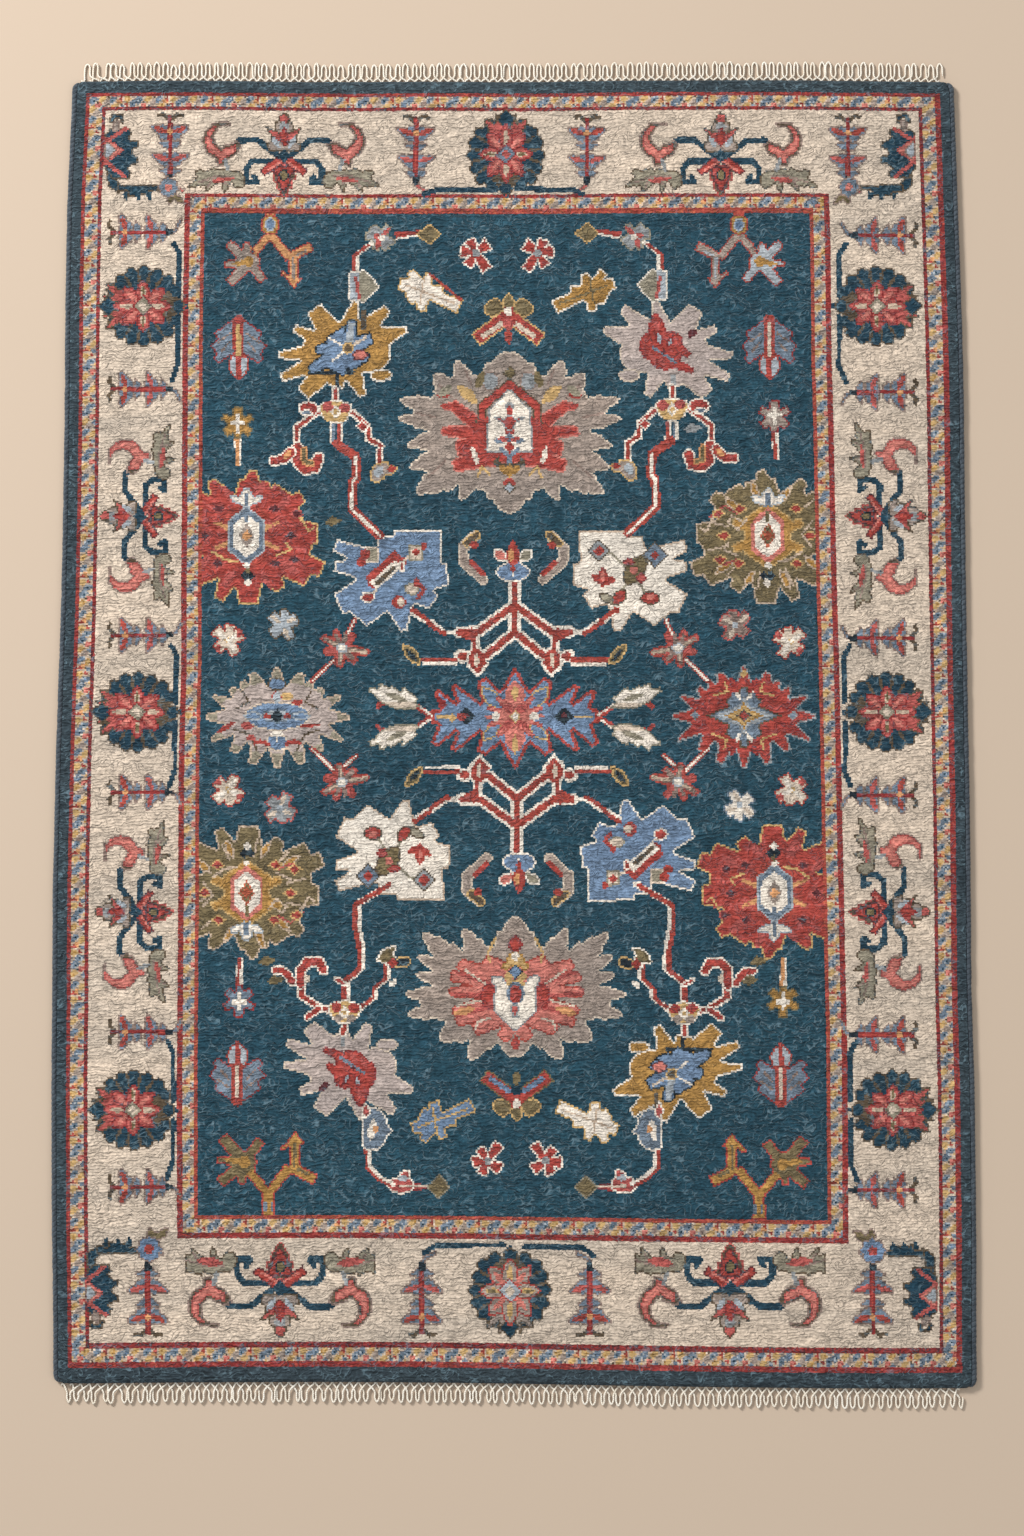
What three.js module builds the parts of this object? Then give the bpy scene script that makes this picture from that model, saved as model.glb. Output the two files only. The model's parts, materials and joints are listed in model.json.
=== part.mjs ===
// A hand-knotted oushak rug, lying flat. Sizes are in millimetres.
// The origin is on the floor under the rug's middle, +Y runs to its far end and +Z up.
import * as THREE from 'three';

// Over both selvedges at the widest place, and over both fringes
const WIDTH = 1220;
const LENGTH = 1820;

// Knotted back and wool pile together, and how round the pile's rim is
const THICKNESS = 9;
const RIM_ROUND = 3;
const CORNER_ROUND = 16;

// The overcast cord along each long side
const SELVEDGE_WIDTH = 7;
const SELVEDGE_HEIGHT = 8;
const SELVEDGE_ROUND = 2.5;
const SELVEDGE_END = 14;

// The looped warp ends: how far they reach past the pile, and the comb that stands for them
const FAR_FRINGE = 26;
const NEAR_FRINGE = 28;
const FRINGE_THICKNESS = 3;
const FRINGE_LOOPS = 104;
const COMB_BACK = 3;
const LOOP_ROOT = 6.6;
const LOOP_TIP = 4.4;

// Loops differ a little in length, and lean outwards at the rug's corners
const REACH_WAVES = [{ size: 0.8, turn: 2.4 }, { size: 0.5, turn: 0.71 }];
const LEAN_WAVE = { size: 1.1, turn: 1.7 };
const CORNER_LEAN = 4.2;
const CORNER_LEAN_POWER = 9;

// The space that is left between pieces
const GAP = 0.3;

// Where the pile ends, before the unevenness in the tables is taken off
const FAR_EDGE = LENGTH / 2 - FAR_FRINGE;
const NEAR_EDGE = -LENGTH / 2 + NEAR_FRINGE;

// How far each long side draws in from the widest place, by the distance along the rug
const SIDES = [
  { y: -866, left: 6.8, right: 6.2 },
  { y: -750, left: 5.0, right: 5.2 },
  { y: -620, left: 3.0, right: 4.3 },
  { y: -490, left: 1.0, right: 3.4 },
  { y: -360, left: 0.6, right: 4.6 },
  { y: -225, left: 0.0, right: 3.6 },
  { y: -90, left: 1.0, right: 1.5 },
  { y: 115, left: 2.5, right: 1.6 },
  { y: 320, left: 5.0, right: 1.0 },
  { y: 520, left: 6.0, right: 0.0 },
  { y: 700, left: 6.5, right: 3.0 },
  { y: 868, left: 7.0, right: 7.0 },
];

// How far each short end draws in from its edge, by the distance across the rug
const ENDS = [
  { x: -592, far: 2.0, near: 6.0 },
  { x: -450, far: 0.6, near: 7.6 },
  { x: -250, far: 2.6, near: 8.4 },
  { x: -100, far: 2.0, near: 7.4 },
  { x: 20, far: 2.6, near: 5.8 },
  { x: 150, far: 0.8, near: 3.4 },
  { x: 340, far: 0.0, near: 0.8 },
  { x: 480, far: 1.4, near: 0.0 },
  { x: 592, far: 2.8, near: 0.6 },
];

const SIDE_STEPS = 33;
const END_STEPS = 30;
const CORNER_STEPS = 5;
const RIM_STEPS = 3;

/** A smooth run through one column of a table, as points (distance along, amount drawn in). */
function drawnIn(table, along, column, steps) {
  const rows = table.map((row) => new THREE.Vector2(row[along], row[column]));
  return new THREE.SplineCurve(rows).getPoints(steps);
}

/** A long side from its near to its far corner. side is -1 for the left one and 1 for the right one. */
function longSide(side, inset) {
  const column = side < 0 ? 'left' : 'right';
  return drawnIn(SIDES, 'y', column, SIDE_STEPS).map(
    (p) => new THREE.Vector2(side * (WIDTH / 2 - p.y - inset), p.x),
  );
}

/** A short end from its left to its right corner, end being 'far' or 'near'. */
function shortEnd(end, inset) {
  return drawnIn(ENDS, 'x', end, END_STEPS).map((p) => new THREE.Vector2(
    p.x,
    end === 'far' ? FAR_EDGE - p.y - inset : NEAR_EDGE + p.y + inset,
  ));
}

/** The rounded turn between two outline points that meet at a right angle. */
function corner(from, to, control) {
  return new THREE.QuadraticBezierCurve(from, control, to).getPoints(CORNER_STEPS).slice(1, -1);
}

/** The levels of a flat piece, from the floor up: how far the outline draws in, and how high it is. */
function rimLevels(height, round) {
  if (round === 0) {
    return [{ inset: 0, z: 0 }, { inset: 0, z: height }];
  }
  const levels = [];
  for (let i = 0; i <= RIM_STEPS; i += 1) {
    const turn = (i / RIM_STEPS) * (Math.PI / 2);
    levels.push({ inset: round * (1 - Math.sin(turn)), z: round * (1 - Math.cos(turn)) });
  }
  const upper = levels.map((level) => ({ inset: level.inset, z: height - level.z })).reverse();
  return [...levels, ...upper];
}

/** A flat piece that stands on the floor. outlineAt gives its outline, counter-clockwise, drawn in by so much. */
function flatPiece(outlineAt, height, round) {
  const levels = rimLevels(height, round);
  const rings = levels.map((level) => outlineAt(level.inset));
  const count = rings[0].length;
  const places = rings.flatMap((ring, i) => ring.flatMap((p) => [p.x, p.y, levels[i].z]));
  const faces = [];
  for (let i = 0; i < rings.length - 1; i += 1) {
    for (let j = 0; j < count; j += 1) {
      const here = i * count + j;
      const next = i * count + ((j + 1) % count);
      faces.push(here, next, next + count, here, next + count, here + count);
    }
  }
  const top = (rings.length - 1) * count;
  for (const [a, b, c] of THREE.ShapeUtils.triangulateShape(rings[0], [])) {
    faces.push(a, c, b);
  }
  for (const [a, b, c] of THREE.ShapeUtils.triangulateShape(rings.at(-1), [])) {
    faces.push(top + a, top + b, top + c);
  }
  const geometry = new THREE.BufferGeometry();
  geometry.setAttribute('position', new THREE.Float32BufferAttribute(places, 3));
  geometry.setIndex(faces);
  return geometry;
}

/** The knotted rug between its selvedges, with its uneven outline. */
function pileOutline(inset) {
  const fromSide = SELVEDGE_WIDTH + GAP + inset;
  const within = (p) => Math.abs(p.x) < WIDTH / 2 - SELVEDGE_WIDTH - CORNER_ROUND;
  const right = longSide(1, fromSide);
  const left = longSide(-1, fromSide).reverse();
  const near = shortEnd('near', inset).filter(within);
  const far = shortEnd('far', inset).filter(within).reverse();
  const runs = [near, right, far, left];
  const corners = [
    new THREE.Vector2(right[0].x, near.at(-1).y),
    new THREE.Vector2(right.at(-1).x, far[0].y),
    new THREE.Vector2(left[0].x, far.at(-1).y),
    new THREE.Vector2(left.at(-1).x, near[0].y),
  ];
  return runs.flatMap((run, i) => {
    const next = runs[(i + 1) % runs.length];
    return [...run, ...corner(run.at(-1), next[0], corners[i])];
  });
}

/** One overcast side cord, as long as the pile's side and rounded off at both ends. */
function selvedgeOutline(side, inset) {
  const outer = longSide(side, inset);
  const inner = longSide(side, SELVEDGE_WIDTH - inset).reverse();
  const turn = (from, to, reach) => {
    const shoulder = new THREE.Vector2(from.x, from.y + reach);
    const tip = new THREE.Vector2(to.x, to.y + reach);
    return new THREE.CubicBezierCurve(from, shoulder, tip, to).getPoints(CORNER_STEPS).slice(1, -1);
  };
  const reach = SELVEDGE_END - inset;
  const farTurn = turn(outer.at(-1), inner[0], reach);
  const nearTurn = turn(inner.at(-1), outer[0], -reach);
  const points = [...outer, ...farTurn, ...inner, ...nearTurn];
  return side < 0 ? points.reverse() : points;
}

/** How far loop i reaches past the pile, at most the fringe's length. */
function loopReach(i, length) {
  const shortenings = REACH_WAVES.map((wave) => wave.size * (1 - Math.sin(i * wave.turn)));
  return length - shortenings.reduce((sum, value) => sum + value, 0);
}

/** How far loop i leans to the right at its tip. */
function loopLean(i) {
  const across = (2 * i) / (FRINGE_LOOPS - 1) - 1;
  return CORNER_LEAN * across ** CORNER_LEAN_POWER + LEAN_WAVE.size * Math.sin(i * LEAN_WAVE.turn);
}

/** The comb of one end: a narrow back along the pile's edge, and one tapered tooth a loop. */
function fringeOutline(end) {
  const outwards = end === 'far' ? 1 : -1;
  const length = end === 'far' ? FAR_FRINGE : NEAR_FRINGE;
  const inner = shortEnd(end, -GAP);
  const first = inner[0];
  const last = inner.at(-1);
  const pitch = (last.x - first.x) / FRINGE_LOOPS;
  const edge = new THREE.SplineCurve(inner);
  const edgeAt = (x) => edge.getPointAt((x - first.x) / (last.x - first.x)).y;
  const teeth = [];
  for (let i = 0; i < FRINGE_LOOPS; i += 1) {
    const x = first.x + (i + 0.5) * pitch;
    const root = edgeAt(x) + outwards * COMB_BACK;
    const tip = edgeAt(x) + outwards * (loopReach(i, length) - GAP);
    const lean = loopLean(i);
    const shoulder = tip - outwards * LOOP_TIP / 2;
    teeth.push(
      new THREE.Vector2(x - LOOP_ROOT / 2, root),
      new THREE.Vector2(x + lean - LOOP_TIP / 2, shoulder),
      new THREE.Vector2(x + lean, tip),
      new THREE.Vector2(x + lean + LOOP_TIP / 2, shoulder),
      new THREE.Vector2(x + LOOP_ROOT / 2, root),
    );
  }
  const points = [...inner.reverse(), ...teeth];
  return outwards > 0 ? points.reverse() : points;
}

const yarn = (colour, roughness) => new THREE.MeshStandardMaterial({
  color: colour,
  roughness,
  metalness: 0,
});

const pileWool = yarn(0x2e4f5d, 0.95);
const selvedgeWool = yarn(0x3b464f, 0.95);
const warpCotton = yarn(0xe9dcc5, 0.9);

const rug = new THREE.Group();

function add(name, geometry, material) {
  const mesh = new THREE.Mesh(geometry, material);
  mesh.name = name;
  rug.add(mesh);
}

add('pile_rug', flatPiece(pileOutline, THICKNESS, RIM_ROUND), pileWool);
for (const [side, name] of [[-1, 'left'], [1, 'right']]) {
  const cord = (inset) => selvedgeOutline(side, inset);
  add(`selvedge_${name}`, flatPiece(cord, SELVEDGE_HEIGHT, SELVEDGE_ROUND), selvedgeWool);
}
for (const end of ['far', 'near']) {
  const comb = fringeOutline(end);
  add(`fringe_${end}`, flatPiece(() => comb, FRINGE_THICKNESS, 0), warpCotton);
}

export default rug;
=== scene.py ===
# %% [markdown]
# # A hand-knotted oushak rug
# The rug lies flat. A real one is woven from the near end to the far one: cotton warps run along it,
# wool knots are tied on them row by row, the wefts lock each row, the sides are overcast in wool and
# the warps stay as loops at both ends. The model has the same parts: a foundation, a pile with one
# face for each knot, two overcast selvedges and two looped fringes.

# %% The frame
import json
import math

import bpy
import numpy as np
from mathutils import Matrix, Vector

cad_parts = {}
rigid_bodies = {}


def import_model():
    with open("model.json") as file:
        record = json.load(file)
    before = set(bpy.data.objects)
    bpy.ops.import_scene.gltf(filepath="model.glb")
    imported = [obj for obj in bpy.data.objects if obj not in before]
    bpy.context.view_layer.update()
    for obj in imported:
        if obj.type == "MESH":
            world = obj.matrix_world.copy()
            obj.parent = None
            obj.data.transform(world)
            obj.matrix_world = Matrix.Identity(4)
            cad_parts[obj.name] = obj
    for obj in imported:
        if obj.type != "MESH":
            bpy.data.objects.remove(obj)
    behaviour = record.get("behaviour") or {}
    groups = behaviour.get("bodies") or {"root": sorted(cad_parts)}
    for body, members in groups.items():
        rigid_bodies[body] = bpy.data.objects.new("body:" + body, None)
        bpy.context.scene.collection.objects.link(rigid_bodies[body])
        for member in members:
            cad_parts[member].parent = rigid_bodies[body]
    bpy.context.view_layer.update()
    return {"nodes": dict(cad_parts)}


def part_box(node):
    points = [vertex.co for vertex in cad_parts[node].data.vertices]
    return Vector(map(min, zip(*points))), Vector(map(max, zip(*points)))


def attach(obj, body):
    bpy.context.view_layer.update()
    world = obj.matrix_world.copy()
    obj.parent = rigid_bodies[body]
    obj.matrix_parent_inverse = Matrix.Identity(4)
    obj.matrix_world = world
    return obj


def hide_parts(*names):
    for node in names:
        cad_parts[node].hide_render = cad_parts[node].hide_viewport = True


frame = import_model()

pile_low, pile_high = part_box("pile_rug")
PILE_TOP = pile_high[2]
print("pile from", [round(v, 4) for v in pile_low], "to", [round(v, 4) for v in pile_high])

# %% [markdown]
# The photograph is taken from almost straight above, from a little way towards the near end. The
# angle was worked out from how much longer the near edge looks than the far one.

# %% Camera
PICTURE_ACROSS = 1024
PICTURE_DOWN = 1536
PICTURE_LENS = 3497.0
FILM = 36.0
TILT = math.radians(7.09)
DISTANCE = 4.675
LOOK_AT_Y = -0.064
eye = (0.0, LOOK_AT_Y - DISTANCE * math.sin(TILT), PILE_TOP + DISTANCE * math.cos(TILT))
bpy.ops.object.select_all(action="DESELECT")
bpy.ops.object.camera_add(location=eye, rotation=(TILT, 0.0, 0.0))
camera = bpy.context.object
camera.name = "camera"
camera.data.sensor_fit = "VERTICAL"
camera.data.sensor_height = FILM
camera.data.sensor_width = FILM
camera.data.lens = PICTURE_LENS / PICTURE_DOWN * FILM
bpy.context.scene.camera = camera
print("camera at", [round(v, 3) for v in eye], "lens", round(camera.data.lens, 2))

# %% [markdown]
# A broad light from the upper left rakes over the pile, so that every furrow shows, and a pale
# surround fills the shadows. The floor is plain and not a part of the rug.


# %% Floor and lights
def soft_light(name, place, size, watts):
    """A square lamp that looks at the middle of the rug."""
    bpy.ops.object.light_add(type="AREA", location=place)
    lamp = bpy.context.object
    lamp.name = name
    lamp.data.size = size
    lamp.data.energy = watts
    lamp.rotation_mode = "XYZ"
    lean = math.atan2(math.hypot(place[0], place[1]), place[2])
    lamp.rotation_euler = (lean, 0.0, -math.atan2(-place[0], -place[1]))


soft_light("key light", (-4.6, 4.0, 4.2), 1.6, 600.0)
soft_light("fill light", (3.5, -3.0, 5.0), 4.0, 60.0)

surround = bpy.data.worlds.new("studio")
surround.use_nodes = True
sky = surround.node_tree.nodes["Background"].inputs
sky["Color"].default_value = (0.95, 0.97, 1.0, 1.0)
sky["Strength"].default_value = 0.5
bpy.context.scene.world = surround
bpy.context.scene.view_settings.view_transform = "Standard"

bpy.ops.mesh.primitive_plane_add(size=8.0, location=(0.0, 0.0, -0.0002))
floor = bpy.context.object
floor.name = "studio_floor"
floor_paint = bpy.data.materials.new("floor paint")
floor_paint.use_nodes = True
paint = floor_paint.node_tree.nodes["Principled BSDF"].inputs
paint["Base Color"].default_value = (0.56, 0.44, 0.33, 1.0)
paint["Roughness"].default_value = 0.8
floor.data.materials.append(floor_paint)
print("lights: 2")

# %% [markdown]
# Nothing hand-woven is quite straight. The outline of the pile is read back from the CAD solid, and
# everything that follows, knots, selvedges and fringes, keeps to it.


# %% Outline of the rug
def read_places(obj):
    places = np.empty(len(obj.data.vertices) * 3)
    obj.data.vertices.foreach_get("co", places)
    return places.reshape(-1, 3)


def edge_line(points, along, across):
    """One side of the outline as two rows of numbers, in order along it and each place once."""
    line = points[np.argsort(points[:, along])]
    _, first = np.unique(np.round(line[:, along], 5), return_index=True)
    return line[first, along], line[first, across]


CORNER = 0.008
FULL_WIDTH_LEVEL = 0.003
STRAIGHT_X = pile_high[0] - 0.026
STRAIGHT_Y = 0.868
solid = read_places(frame["nodes"]["pile_rug"])
x, y, z = solid.T
rim = np.abs(z - FULL_WIDTH_LEVEL) < 0.0002
sides = solid[rim & (np.abs(y) < STRAIGHT_Y) & (np.abs(x) > STRAIGHT_X)]
ends = solid[rim & (np.abs(x) < STRAIGHT_X + 0.003) & (np.abs(y) > STRAIGHT_Y)]
SIDE_Y = np.linspace(-0.866, 0.868, 60)
END_X = np.linspace(-0.592, 0.592, 60)
LEFT_X = np.interp(SIDE_Y, *edge_line(sides[sides[:, 0] < 0], 1, 0))
RIGHT_X = np.interp(SIDE_Y, *edge_line(sides[sides[:, 0] > 0], 1, 0))
FAR_Y = np.interp(END_X, *edge_line(ends[ends[:, 1] > 0], 0, 1))
NEAR_Y = np.interp(END_X, *edge_line(ends[ends[:, 1] < 0], 0, 1))

# Wool gives: in the photograph the edges stray a few millimetres from the model's smooth outline.
STRAY = [
    # y, how far out the left side strays, how far out the right side does
    (-0.80, -0.002, 0.005),
    (-0.67, 0.000, 0.006),
    (-0.37, 0.001, 0.005),
    (-0.24, 0.002, 0.005),
    (-0.05, 0.002, 0.003),
    (0.16, 0.000, 0.003),
    (0.40, 0.002, 0.003),
    (0.58, 0.004, 0.002),
    (0.72, 0.004, 0.002),
    (0.85, 0.000, 0.003),
]
FAR_STRAY = 0.003
stray_y, stray_left, stray_right = np.array(STRAY).T
LEFT_X = LEFT_X - np.interp(SIDE_Y, stray_y, stray_left)
RIGHT_X = RIGHT_X + np.interp(SIDE_Y, stray_y, stray_right)
FAR_Y = FAR_Y + FAR_STRAY
print("outline points:", len(sides), "on the sides,", len(ends), "on the ends")

# %% [markdown]
# A knotted rug is worked from a chart: one square for each knot, one yarn for each square. The rug
# could be painted with an image, but a real one has no picture on it, only knots of dyed wool.
# So the chart is made here as a table of yarn numbers, and everything that shows is drawn into it
# with a few small tools, such as an oval, a leaf, a limb and a stroke.

# %% The yarns
YARNS = {
    "navy": (54, 65, 71),
    "teal": (38, 69, 82),
    "deep": (36, 44, 50),
    "ink": (34, 60, 74),
    "cream": (209, 191, 171),
    "ivory": (232, 220, 204),
    "sand": (190, 168, 146),
    "dove": (172, 157, 149),
    "greige": (152, 137, 126),
    "taupe": (138, 118, 108),
    "grey": (142, 144, 144),
    "sage": (142, 134, 116),
    "olive": (116, 102, 74),
    "umber": (92, 78, 62),
    "gold": (192, 158, 106),
    "mustard": (166, 126, 70),
    "orange": (200, 144, 98),
    "rust": (168, 88, 66),
    "red": (160, 68, 60),
    "madder": (136, 52, 50),
    "brick": (158, 70, 60),
    "wine": (94, 50, 52),
    "pink": (196, 118, 106),
    "rose": (170, 86, 80),
    "blue": (110, 131, 156),
    "slate": (110, 123, 136),
    "mist": (160, 166, 170),
}
YARN_NAMES = list(YARNS)
NUMBER = {name: number for number, name in enumerate(YARN_NAMES)}
print("yarns:", len(YARNS))

# %% [markdown]
# The knots stand in rows across and columns along. The columns follow the rug's own sides, and the
# warps under the inner guards drift a few millimetres to one side. Where each knot falls in the
# photograph is worked out from the camera, so that a motif can be placed by the point of the picture
# where it is seen.

# %% The grid of knots
COLUMNS = 482
ROWS = 706
WARP_DRIFT = [
    # y, how far to the right the warps under the left guard drift, and those under the right one
    (-0.63, 0.0060, 0.0035),
    (-0.50, 0.0062, 0.0040),
    (-0.40, 0.0065, 0.0055),
    (-0.31, 0.0070, 0.0045),
    (-0.23, 0.0075, 0.0035),
    (-0.15, 0.0060, 0.0020),
    (-0.07, 0.0050, 0.0015),
    (0.09, 0.0045, 0.0),
    (0.17, 0.0020, -0.0020),
    (0.33, 0.0007, -0.0040),
    (0.50, 0.0, -0.0065),
    (0.66, 0.0013, -0.0040),
]
GUARD_PLACE = 0.13
drift_y, drift_left, drift_right = np.array(WARP_DRIFT).T


def drift(across):
    """The share of a guard's drift: all of it under the guard, none at the edge and the middle."""
    rise = np.clip(across / GUARD_PLACE, 0, 1)
    fall = np.clip((0.5 - across) / (0.5 - GUARD_PLACE), 0, 1)
    return rise**2 * (3 - 2 * rise) * fall**2 * (3 - 2 * fall)


def place_on_rug(across, along):
    """Where a place of the chart lies. across and along run from 0 to 1, from the far left corner."""
    straight = END_X[0] + (END_X[-1] - END_X[0]) * across
    far = np.interp(straight, END_X, FAR_Y)
    near = np.interp(straight, END_X, NEAR_Y)
    y = far + (near - far) * along
    left = np.interp(y, SIDE_Y, LEFT_X)
    right = np.interp(y, SIDE_Y, RIGHT_X)
    x = left + (right - left) * across
    x = x + np.interp(y, drift_y, drift_left) * drift(across)
    return x + np.interp(y, drift_y, drift_right) * drift(1 - across), y


def place_in_picture(x, y):
    """The picture point, across and down, where the camera sees a place on top of the pile."""
    ahead = y - LOOK_AT_Y
    away = DISTANCE + ahead * math.sin(TILT)
    across = PICTURE_ACROSS / 2 + PICTURE_LENS * x / away
    return across, PICTURE_DOWN / 2 - PICTURE_LENS * ahead * math.cos(TILT) / away


column = (np.arange(COLUMNS) + 0.5) / COLUMNS
row = (np.arange(ROWS) + 0.5) / ROWS
SEEN_ACROSS, SEEN_DOWN = place_in_picture(*place_on_rug(*np.meshgrid(column, row)))
chart = np.full((ROWS, COLUMNS), NUMBER["teal"], dtype=np.int16)
print("knots:", chart.size)

# %% [markdown]
# Each motif is drawn in a patch of the chart, with its own middle, turned and mirrored as it needs.
# A folded patch draws both halves of a motif at once, as a weaver counts outwards from the middle.


# %% Drawing tools
def beside(mask):
    """The mask moved by one knot to each of the four sides."""
    wide = np.pad(mask, 1)
    return wide[:-2, 1:-1], wide[2:, 1:-1], wide[1:-1, :-2], wide[1:-1, 2:]


def smaller(mask, knots=1):
    """The mask with its outermost knots taken off."""
    for _ in range(knots):
        mask = mask & np.all(beside(mask), axis=0)
    return mask


def larger(mask):
    """The mask with one more ring of knots round it."""
    return mask | np.any(beside(mask), axis=0)


class Patch:
    """A window of the chart. x and y are a knot's place from the motif's middle, in picture points."""

    def __init__(self, across, down, reach, turn=0, mirror=False, flip=False, fold=False, size=1.0):
        near = (np.abs(SEEN_ACROSS - across) < reach) & (np.abs(SEEN_DOWN - down) < reach)
        rows = np.flatnonzero(near.any(axis=1))
        columns = np.flatnonzero(near.any(axis=0))
        window = np.s_[rows[0] : rows[-1] + 1, columns[0] : columns[-1] + 1]
        right = (SEEN_ACROSS[window] - across) / size
        up = (down - SEEN_DOWN[window]) / size
        angle = math.radians(turn)
        self.x = (right * math.cos(angle) + up * math.sin(angle)) * (-1 if mirror else 1)
        self.y = (up * math.cos(angle) - right * math.sin(angle)) * (-1 if flip else 1)
        if fold:
            self.x = np.abs(self.x)
        self.knots = chart[window]
        self.kept = {}

    def oval(self, x, y, wide, high, lean=0):
        """Half as wide and half as high as given, leaning to the left by lean degrees."""
        angle = math.radians(lean)
        across = (self.x - x) * math.cos(angle) + (self.y - y) * math.sin(angle)
        along = (self.y - y) * math.cos(angle) - (self.x - x) * math.sin(angle)
        return (across / wide) ** 2 + (along / high) ** 2 < 1

    def cushion(self, x, y, wide, high):
        """An oval with fuller corners."""
        return (np.abs(self.x - x) / wide) ** 3 + (np.abs(self.y - y) / high) ** 3 < 1

    def diamond(self, x, y, wide, high):
        return np.abs(self.x - x) / wide + np.abs(self.y - y) / high < 1

    def along(self, x0, y0, x1, y1):
        """How far each knot is along a line, from 0 to 1, and how far to its side."""
        length = math.hypot(x1 - x0, y1 - y0)
        run = ((self.x - x0) * (x1 - x0) + (self.y - y0) * (y1 - y0)) / length
        side = ((self.y - y0) * (x1 - x0) - (self.x - x0) * (y1 - y0)) / length
        return run / length, np.abs(side)

    def leaf(self, x0, y0, x1, y1, width, belly=0.5):
        """A leaf from its root to its tip, widest at belly."""
        run, side = self.along(x0, y0, x1, y1)
        power = math.log(0.5) / math.log(belly)
        full = np.sin(np.pi * np.clip(run, 0.0001, 0.9999) ** power)
        return (run > 0) & (run < 1) & (side < width / 2 * full**0.75)

    def limb(self, x0, y0, x1, y1, root, tip):
        """A straight limb with square ends, as wide at its root and at its tip as given."""
        run, side = self.along(x0, y0, x1, y1)
        return (run > 0) & (run < 1) & (side < (root + (tip - root) * run) / 2)

    def toothed(self, x0, y0, x1, y1, width, teeth):
        """A broad leaf whose edge steps in like a saw, every tooth pointing to the tip."""
        run, side = self.along(x0, y0, x1, y1)
        step = np.clip(run, 0, 1) * teeth
        tooth = step - np.floor(step)
        full = np.clip(1 - run, 0, 1) ** 0.62
        return (run > 0) & (run < 1) & (side < width / 2 * full * (0.9 + 0.32 * tooth))

    def hexagon(self, wide, high):
        """A long hexagon in the middle, half as wide and half as high as given."""
        return self.limb(0, -high, 0, high, 2 * wide, 2 * wide) & self.diamond(0, 0, 2.06 * wide, high)

    def stroke(self, width, *bends):
        """A bent line of one width with round turns, from one x, y to the next."""
        drawn = np.zeros(self.x.shape, bool)
        for x0, y0, x1, y1 in zip(bends[::2], bends[1::2], bends[2::2], bends[3::2]):
            run = np.clip(self.along(x0, y0, x1, y1)[0], 0, 1)
            off = np.hypot(self.x - x0 - run * (x1 - x0), self.y - y0 - run * (y1 - y0))
            drawn |= off < width / 2
        return drawn

    def beyond(self, x):
        return self.x > x

    def short_of(self, x):
        return self.x < x

    def above(self, y):
        return self.y > y

    def lay(self, mask, yarn, edge=None, knots=1):
        """Knot the mask in one yarn, with its outermost knots in another if there is an edge."""
        self.knots[mask] = NUMBER[yarn]
        if edge:
            self.knots[mask & ~smaller(mask, knots)] = NUMBER[edge]

    def stem(self, width, *bends):
        """A brick stem with an ivory edge."""
        self.lay(self.stroke(width + 3.6, *bends), "ivory")
        self.lay(self.stroke(width, *bends), "brick")

    def two_sided(self, width, *bends):
        """A stem that is ivory on one side and brick on the other."""
        x, y = np.array(bends[::2]), np.array(bends[1::2])
        self.lay(self.stroke(width, *np.stack([x + 1.6, y + 0.8], 1).ravel()), "ivory")
        self.lay(self.stroke(width - 1.4, *np.stack([x - 1.2, y - 0.8], 1).ravel()), "brick")

    def masked(self, shapes):
        """The knots that a list of shapes takes in, read from left to right."""
        mask = np.zeros(self.x.shape, bool)
        for shape in shapes.split(","):
            tool, _, counts = shape.strip().partition(" ")
            word = tool.strip("-&*")
            for count in counts.split("/"):
                if word in self.kept:
                    drawn = smaller(self.kept[word], tool.count("*"))
                else:
                    drawn = getattr(self, word)(*map(float, count.split()))
                if tool[0] == "-":
                    mask = mask & ~drawn
                elif tool[0] == "&":
                    mask = mask & drawn
                else:
                    mask = mask | drawn
        return mask

    def work(self, talim, called):
        """Work a talim line by line. called gives the yarns that it leaves open."""
        joined = talim.replace(",\n", ",").replace("/\n", "/").replace("\n\n", "\n")
        for line in joined.strip().splitlines():
            head, _, shapes = line.partition(":")
            if head in ("stem", "two_sided"):
                getattr(self, head)(*map(float, shapes.split()))
                continue
            mask = self.masked(shapes)
            yarns = []
            knots = 1
            for word in head.split():
                if word == "+":
                    mask = larger(mask)
                elif word == "2":
                    knots = 2
                elif word[0] == "&":
                    mask = mask & self.kept[word[1:]]
                elif word[0] == "=":
                    self.kept[word[1:]] = mask
                else:
                    yarns.append(called.get(word, word))
            if yarns:
                self.lay(mask, yarns[0], yarns[1] if len(yarns) > 1 else None, knots)


# %% [markdown]
# Weavers have long written patterns down as a talim, a text that is read out line by line. Here a
# line names a yarn, or a yarn and the yarn of its edge, then a colon and the shapes to knot in it.
# A shape is a tool and its numbers, a slash repeats the tool with new numbers, and a comma starts
# the next shape. A minus takes a shape away, and an ampersand keeps only what lies in it. A line can
# keep its shapes under a name with an equals sign, for later lines. A star after such a name is its
# inside, without the edge, and a plus before the colon is one ring of knots more.


# %% Motifs
def motif(talim, across, down, reach, called=None, **turned):
    """Work a talim with its middle at one point of the picture."""
    Patch(across, down, reach, **turned).work(talim, called or {})


# %% [markdown]
# The field's two great palmettes come first. Each is a spread of toothed leaves round a red heart,
# and in the heart stands a small ivory niche with a flower. Their talims are for one half, and the
# patch folds the other half over.

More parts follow.
